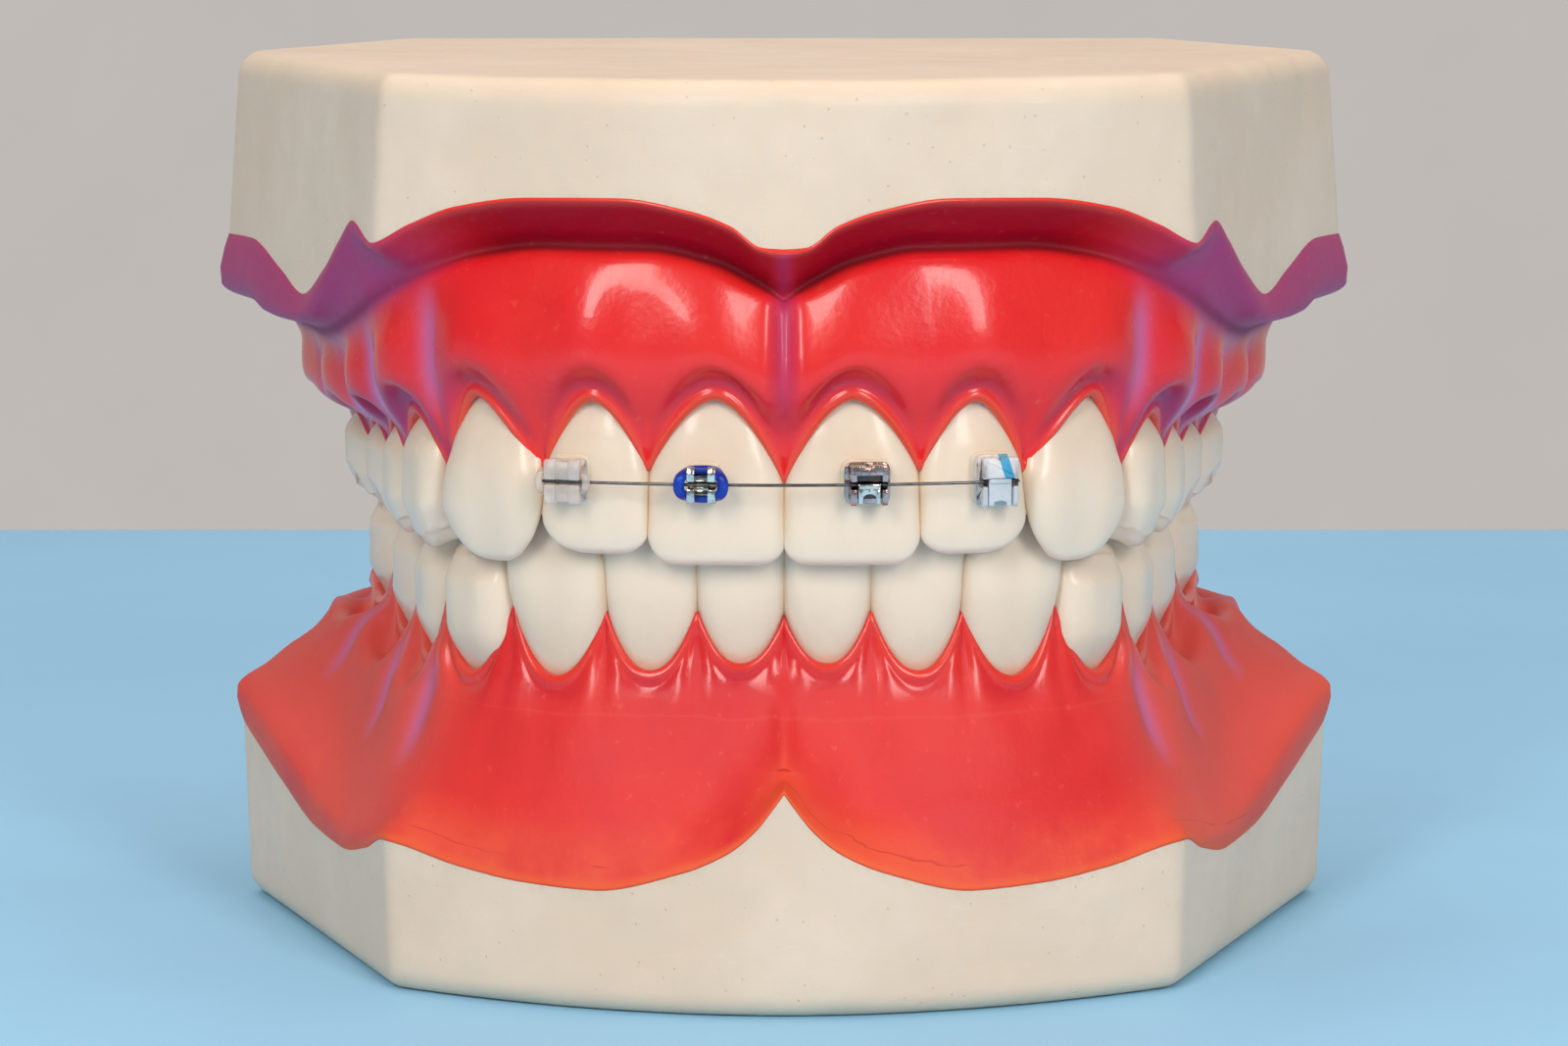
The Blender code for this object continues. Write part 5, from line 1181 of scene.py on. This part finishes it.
for node, shape, finish, slot in (
        ("clear_bracket", twinShape(clearTwin, 0.10), clearFinish, "clear_ceramic"),
        ("steel_bracket", twinShape(steelTwin, 0.06), steelFinish, "bracket_steel"),
        ("steel_slider_bracket", sliderShape(steelSlider, 0.07), steelPaintedReflectionFinish, "bracket_steel"),
        ("clear_slider_bracket", sliderShape(clearSlider, 0.10), milkyClearFinish, "clear_ceramic")):
    makePiece(node, shape, finish, 50)
makePiece("steel_door", doorShape(steelSlider), steelFinish, 50, "steel_door")
makePiece("clear_door", doorShape(clearSlider), milkyFinish, 50, "clear_door")
makePiece("blue_ring", ringShape(steelTwin), blueFinish)
makePiece("clear_ring", ringShape(clearTwin), clearElasticFinish)
makePiece("archwire", wireShape(), wireFinish)
for name, size in (("clear_bracket", clearTwin), ("steel_bracket", steelTwin),
                   ("steel_slider", steelSlider), ("clear_slider", clearSlider)):
    makePiece(name + "_adhesive", pasteShape(size), pasteFinish)
print("braces made")


# Floor, backdrop, lights and camera

studio = {
    "floorColour": (0.345, 0.665, 0.94), "wallColour": (0.56, 0.53, 0.50), "wallSeen": (0.530, 0.496, 0.476),
    "floorEnd": 0.189, "wallPlace": 0.9, "halfWidth": 3.0,
    "skyColour": (1.0, 0.955, 0.90), "skyMirrored": (0.26, 0.245, 0.235), "skyStrength": 0.50,
    # pitch in degrees down, focal length in pixels of a picture photoWidth wide, sensor in millimetres
    "eye": (0.0, -0.3394, 0.0745), "pitch": 7.95, "focal": 5250.0, "photoWidth": 1600.0, "sensor": 36.0,
    "lampAim": (0, 0, 0.03),
    "lamps": {  # place, size, watts and colour
        "key": ((-0.17, -0.42, 0.28), (0.10, 0.24), 0.93, (1.0, 0.95, 0.89)),
        "fill": ((0.20, -0.42, 0.24), (0.10, 0.24), 0.92, (1.0, 0.96, 0.92)),
        "top": ((0.0, 0.10, 0.50), (0.5, 0.4), 1.10, (1.0, 0.96, 0.92))},
}


def plainFinish(name, colour, seen=None):
    # a matt sheet; what the camera and mirrors see of it may be given a steady colour of its own
    finish = Finish(name, Roughness=0.6)
    clouds = finish.noise(0.02, 4, 0.6)
    darker = tuple(0.95 * part for part in colour)
    finish.set(BaseColor=finish.mix(clouds.between(0.35, 0.7), colour, darker))
    finish.set(Normal=finish.bump(finish.noise(1.2, 3), 0.02))
    if seen:
        direct, mirrored, through = (finish.node("ShaderNodeLightPath", {}, {}, "Is %s Ray" % kind)
                                     for kind in ("Camera", "Glossy", "Transmission"))
        faint = tuple(0.97 * part for part in seen)
        shown = finish.node("ShaderNodeEmission", {}, {"Color": finish.mix(clouds.between(0.35, 0.7), seen, faint)})
        either = direct.calc("MINIMUM", direct + mirrored + through, 1.0)
        lit = Wire(finish, finish.shader.outputs[0])
        blend = finish.node("ShaderNodeMixShader", {}, {0: either, 1: lit, 2: shown})
        finish.feed(finish.tree.nodes["Material Output"].inputs["Surface"], blend)
    return finish.material


def stagePlane(name, corners, colour, seen=None):
    # one flat sheet through four corners, in metres, that belongs to the stage
    mesh = bpy.data.meshes.new(name)
    mesh.from_pydata(corners, [], [(0, 1, 2, 3)])
    mesh.materials.append(plainFinish(name + "Finish", colour, seen))
    plane = bpy.data.objects.new(name, mesh)
    scene.collection.objects.link(plane)


wide, end, wall = studio["halfWidth"], studio["floorEnd"], studio["wallPlace"]
stagePlane("floor", [(-wide, -wide, 0), (wide, -wide, 0), (wide, end, 0), (-wide, end, 0)], studio["floorColour"])
stagePlane("backdrop", [(-wide, wall, -1), (wide, wall, -1), (wide, wall, 2), (-wide, wall, 2)], studio["wallColour"],
           studio["wallSeen"])

for name, (place, size, watts, colour) in studio["lamps"].items():
    lamp = bpy.data.lights.new(name, "AREA")
    lamp.shape, lamp.size, lamp.size_y = "RECTANGLE", *size
    lamp.energy, lamp.color = watts, colour
    light = bpy.data.objects.new(name, lamp)
    light.location = place
    way = np.array(studio["lampAim"]) - place
    light.rotation_euler = (math.atan2(math.hypot(way[0], way[1]), -way[2]), 0, math.atan2(-way[0], way[1]))
    scene.collection.objects.link(light)

world = bpy.data.worlds.new("studio")
world.use_nodes = True
sky = Nodes(world.node_tree)
background = sky.tree.nodes["Background"]
mirrored = sky.node("ShaderNodeLightPath", {}, {}, "Is Glossy Ray")
sky.feed(background.inputs["Strength"], studio["skyStrength"])
sky.feed(background.inputs["Color"], sky.mix(mirrored, studio["skyColour"], studio["skyMirrored"]))
scene.world = world

camera = bpy.data.cameras.new("camera")
camera.sensor_width = studio["sensor"]
camera.lens = studio["sensor"] * studio["focal"] / studio["photoWidth"]
camera.clip_start, camera.clip_end = 0.01, 20.0
eye = bpy.data.objects.new("camera", camera)
eye.location = studio["eye"]
eye.rotation_euler = (math.radians(90 - studio["pitch"]), 0, 0)
scene.collection.objects.link(eye)
scene.camera = eye
scene.view_settings.view_transform = "Standard"
print("studio made")
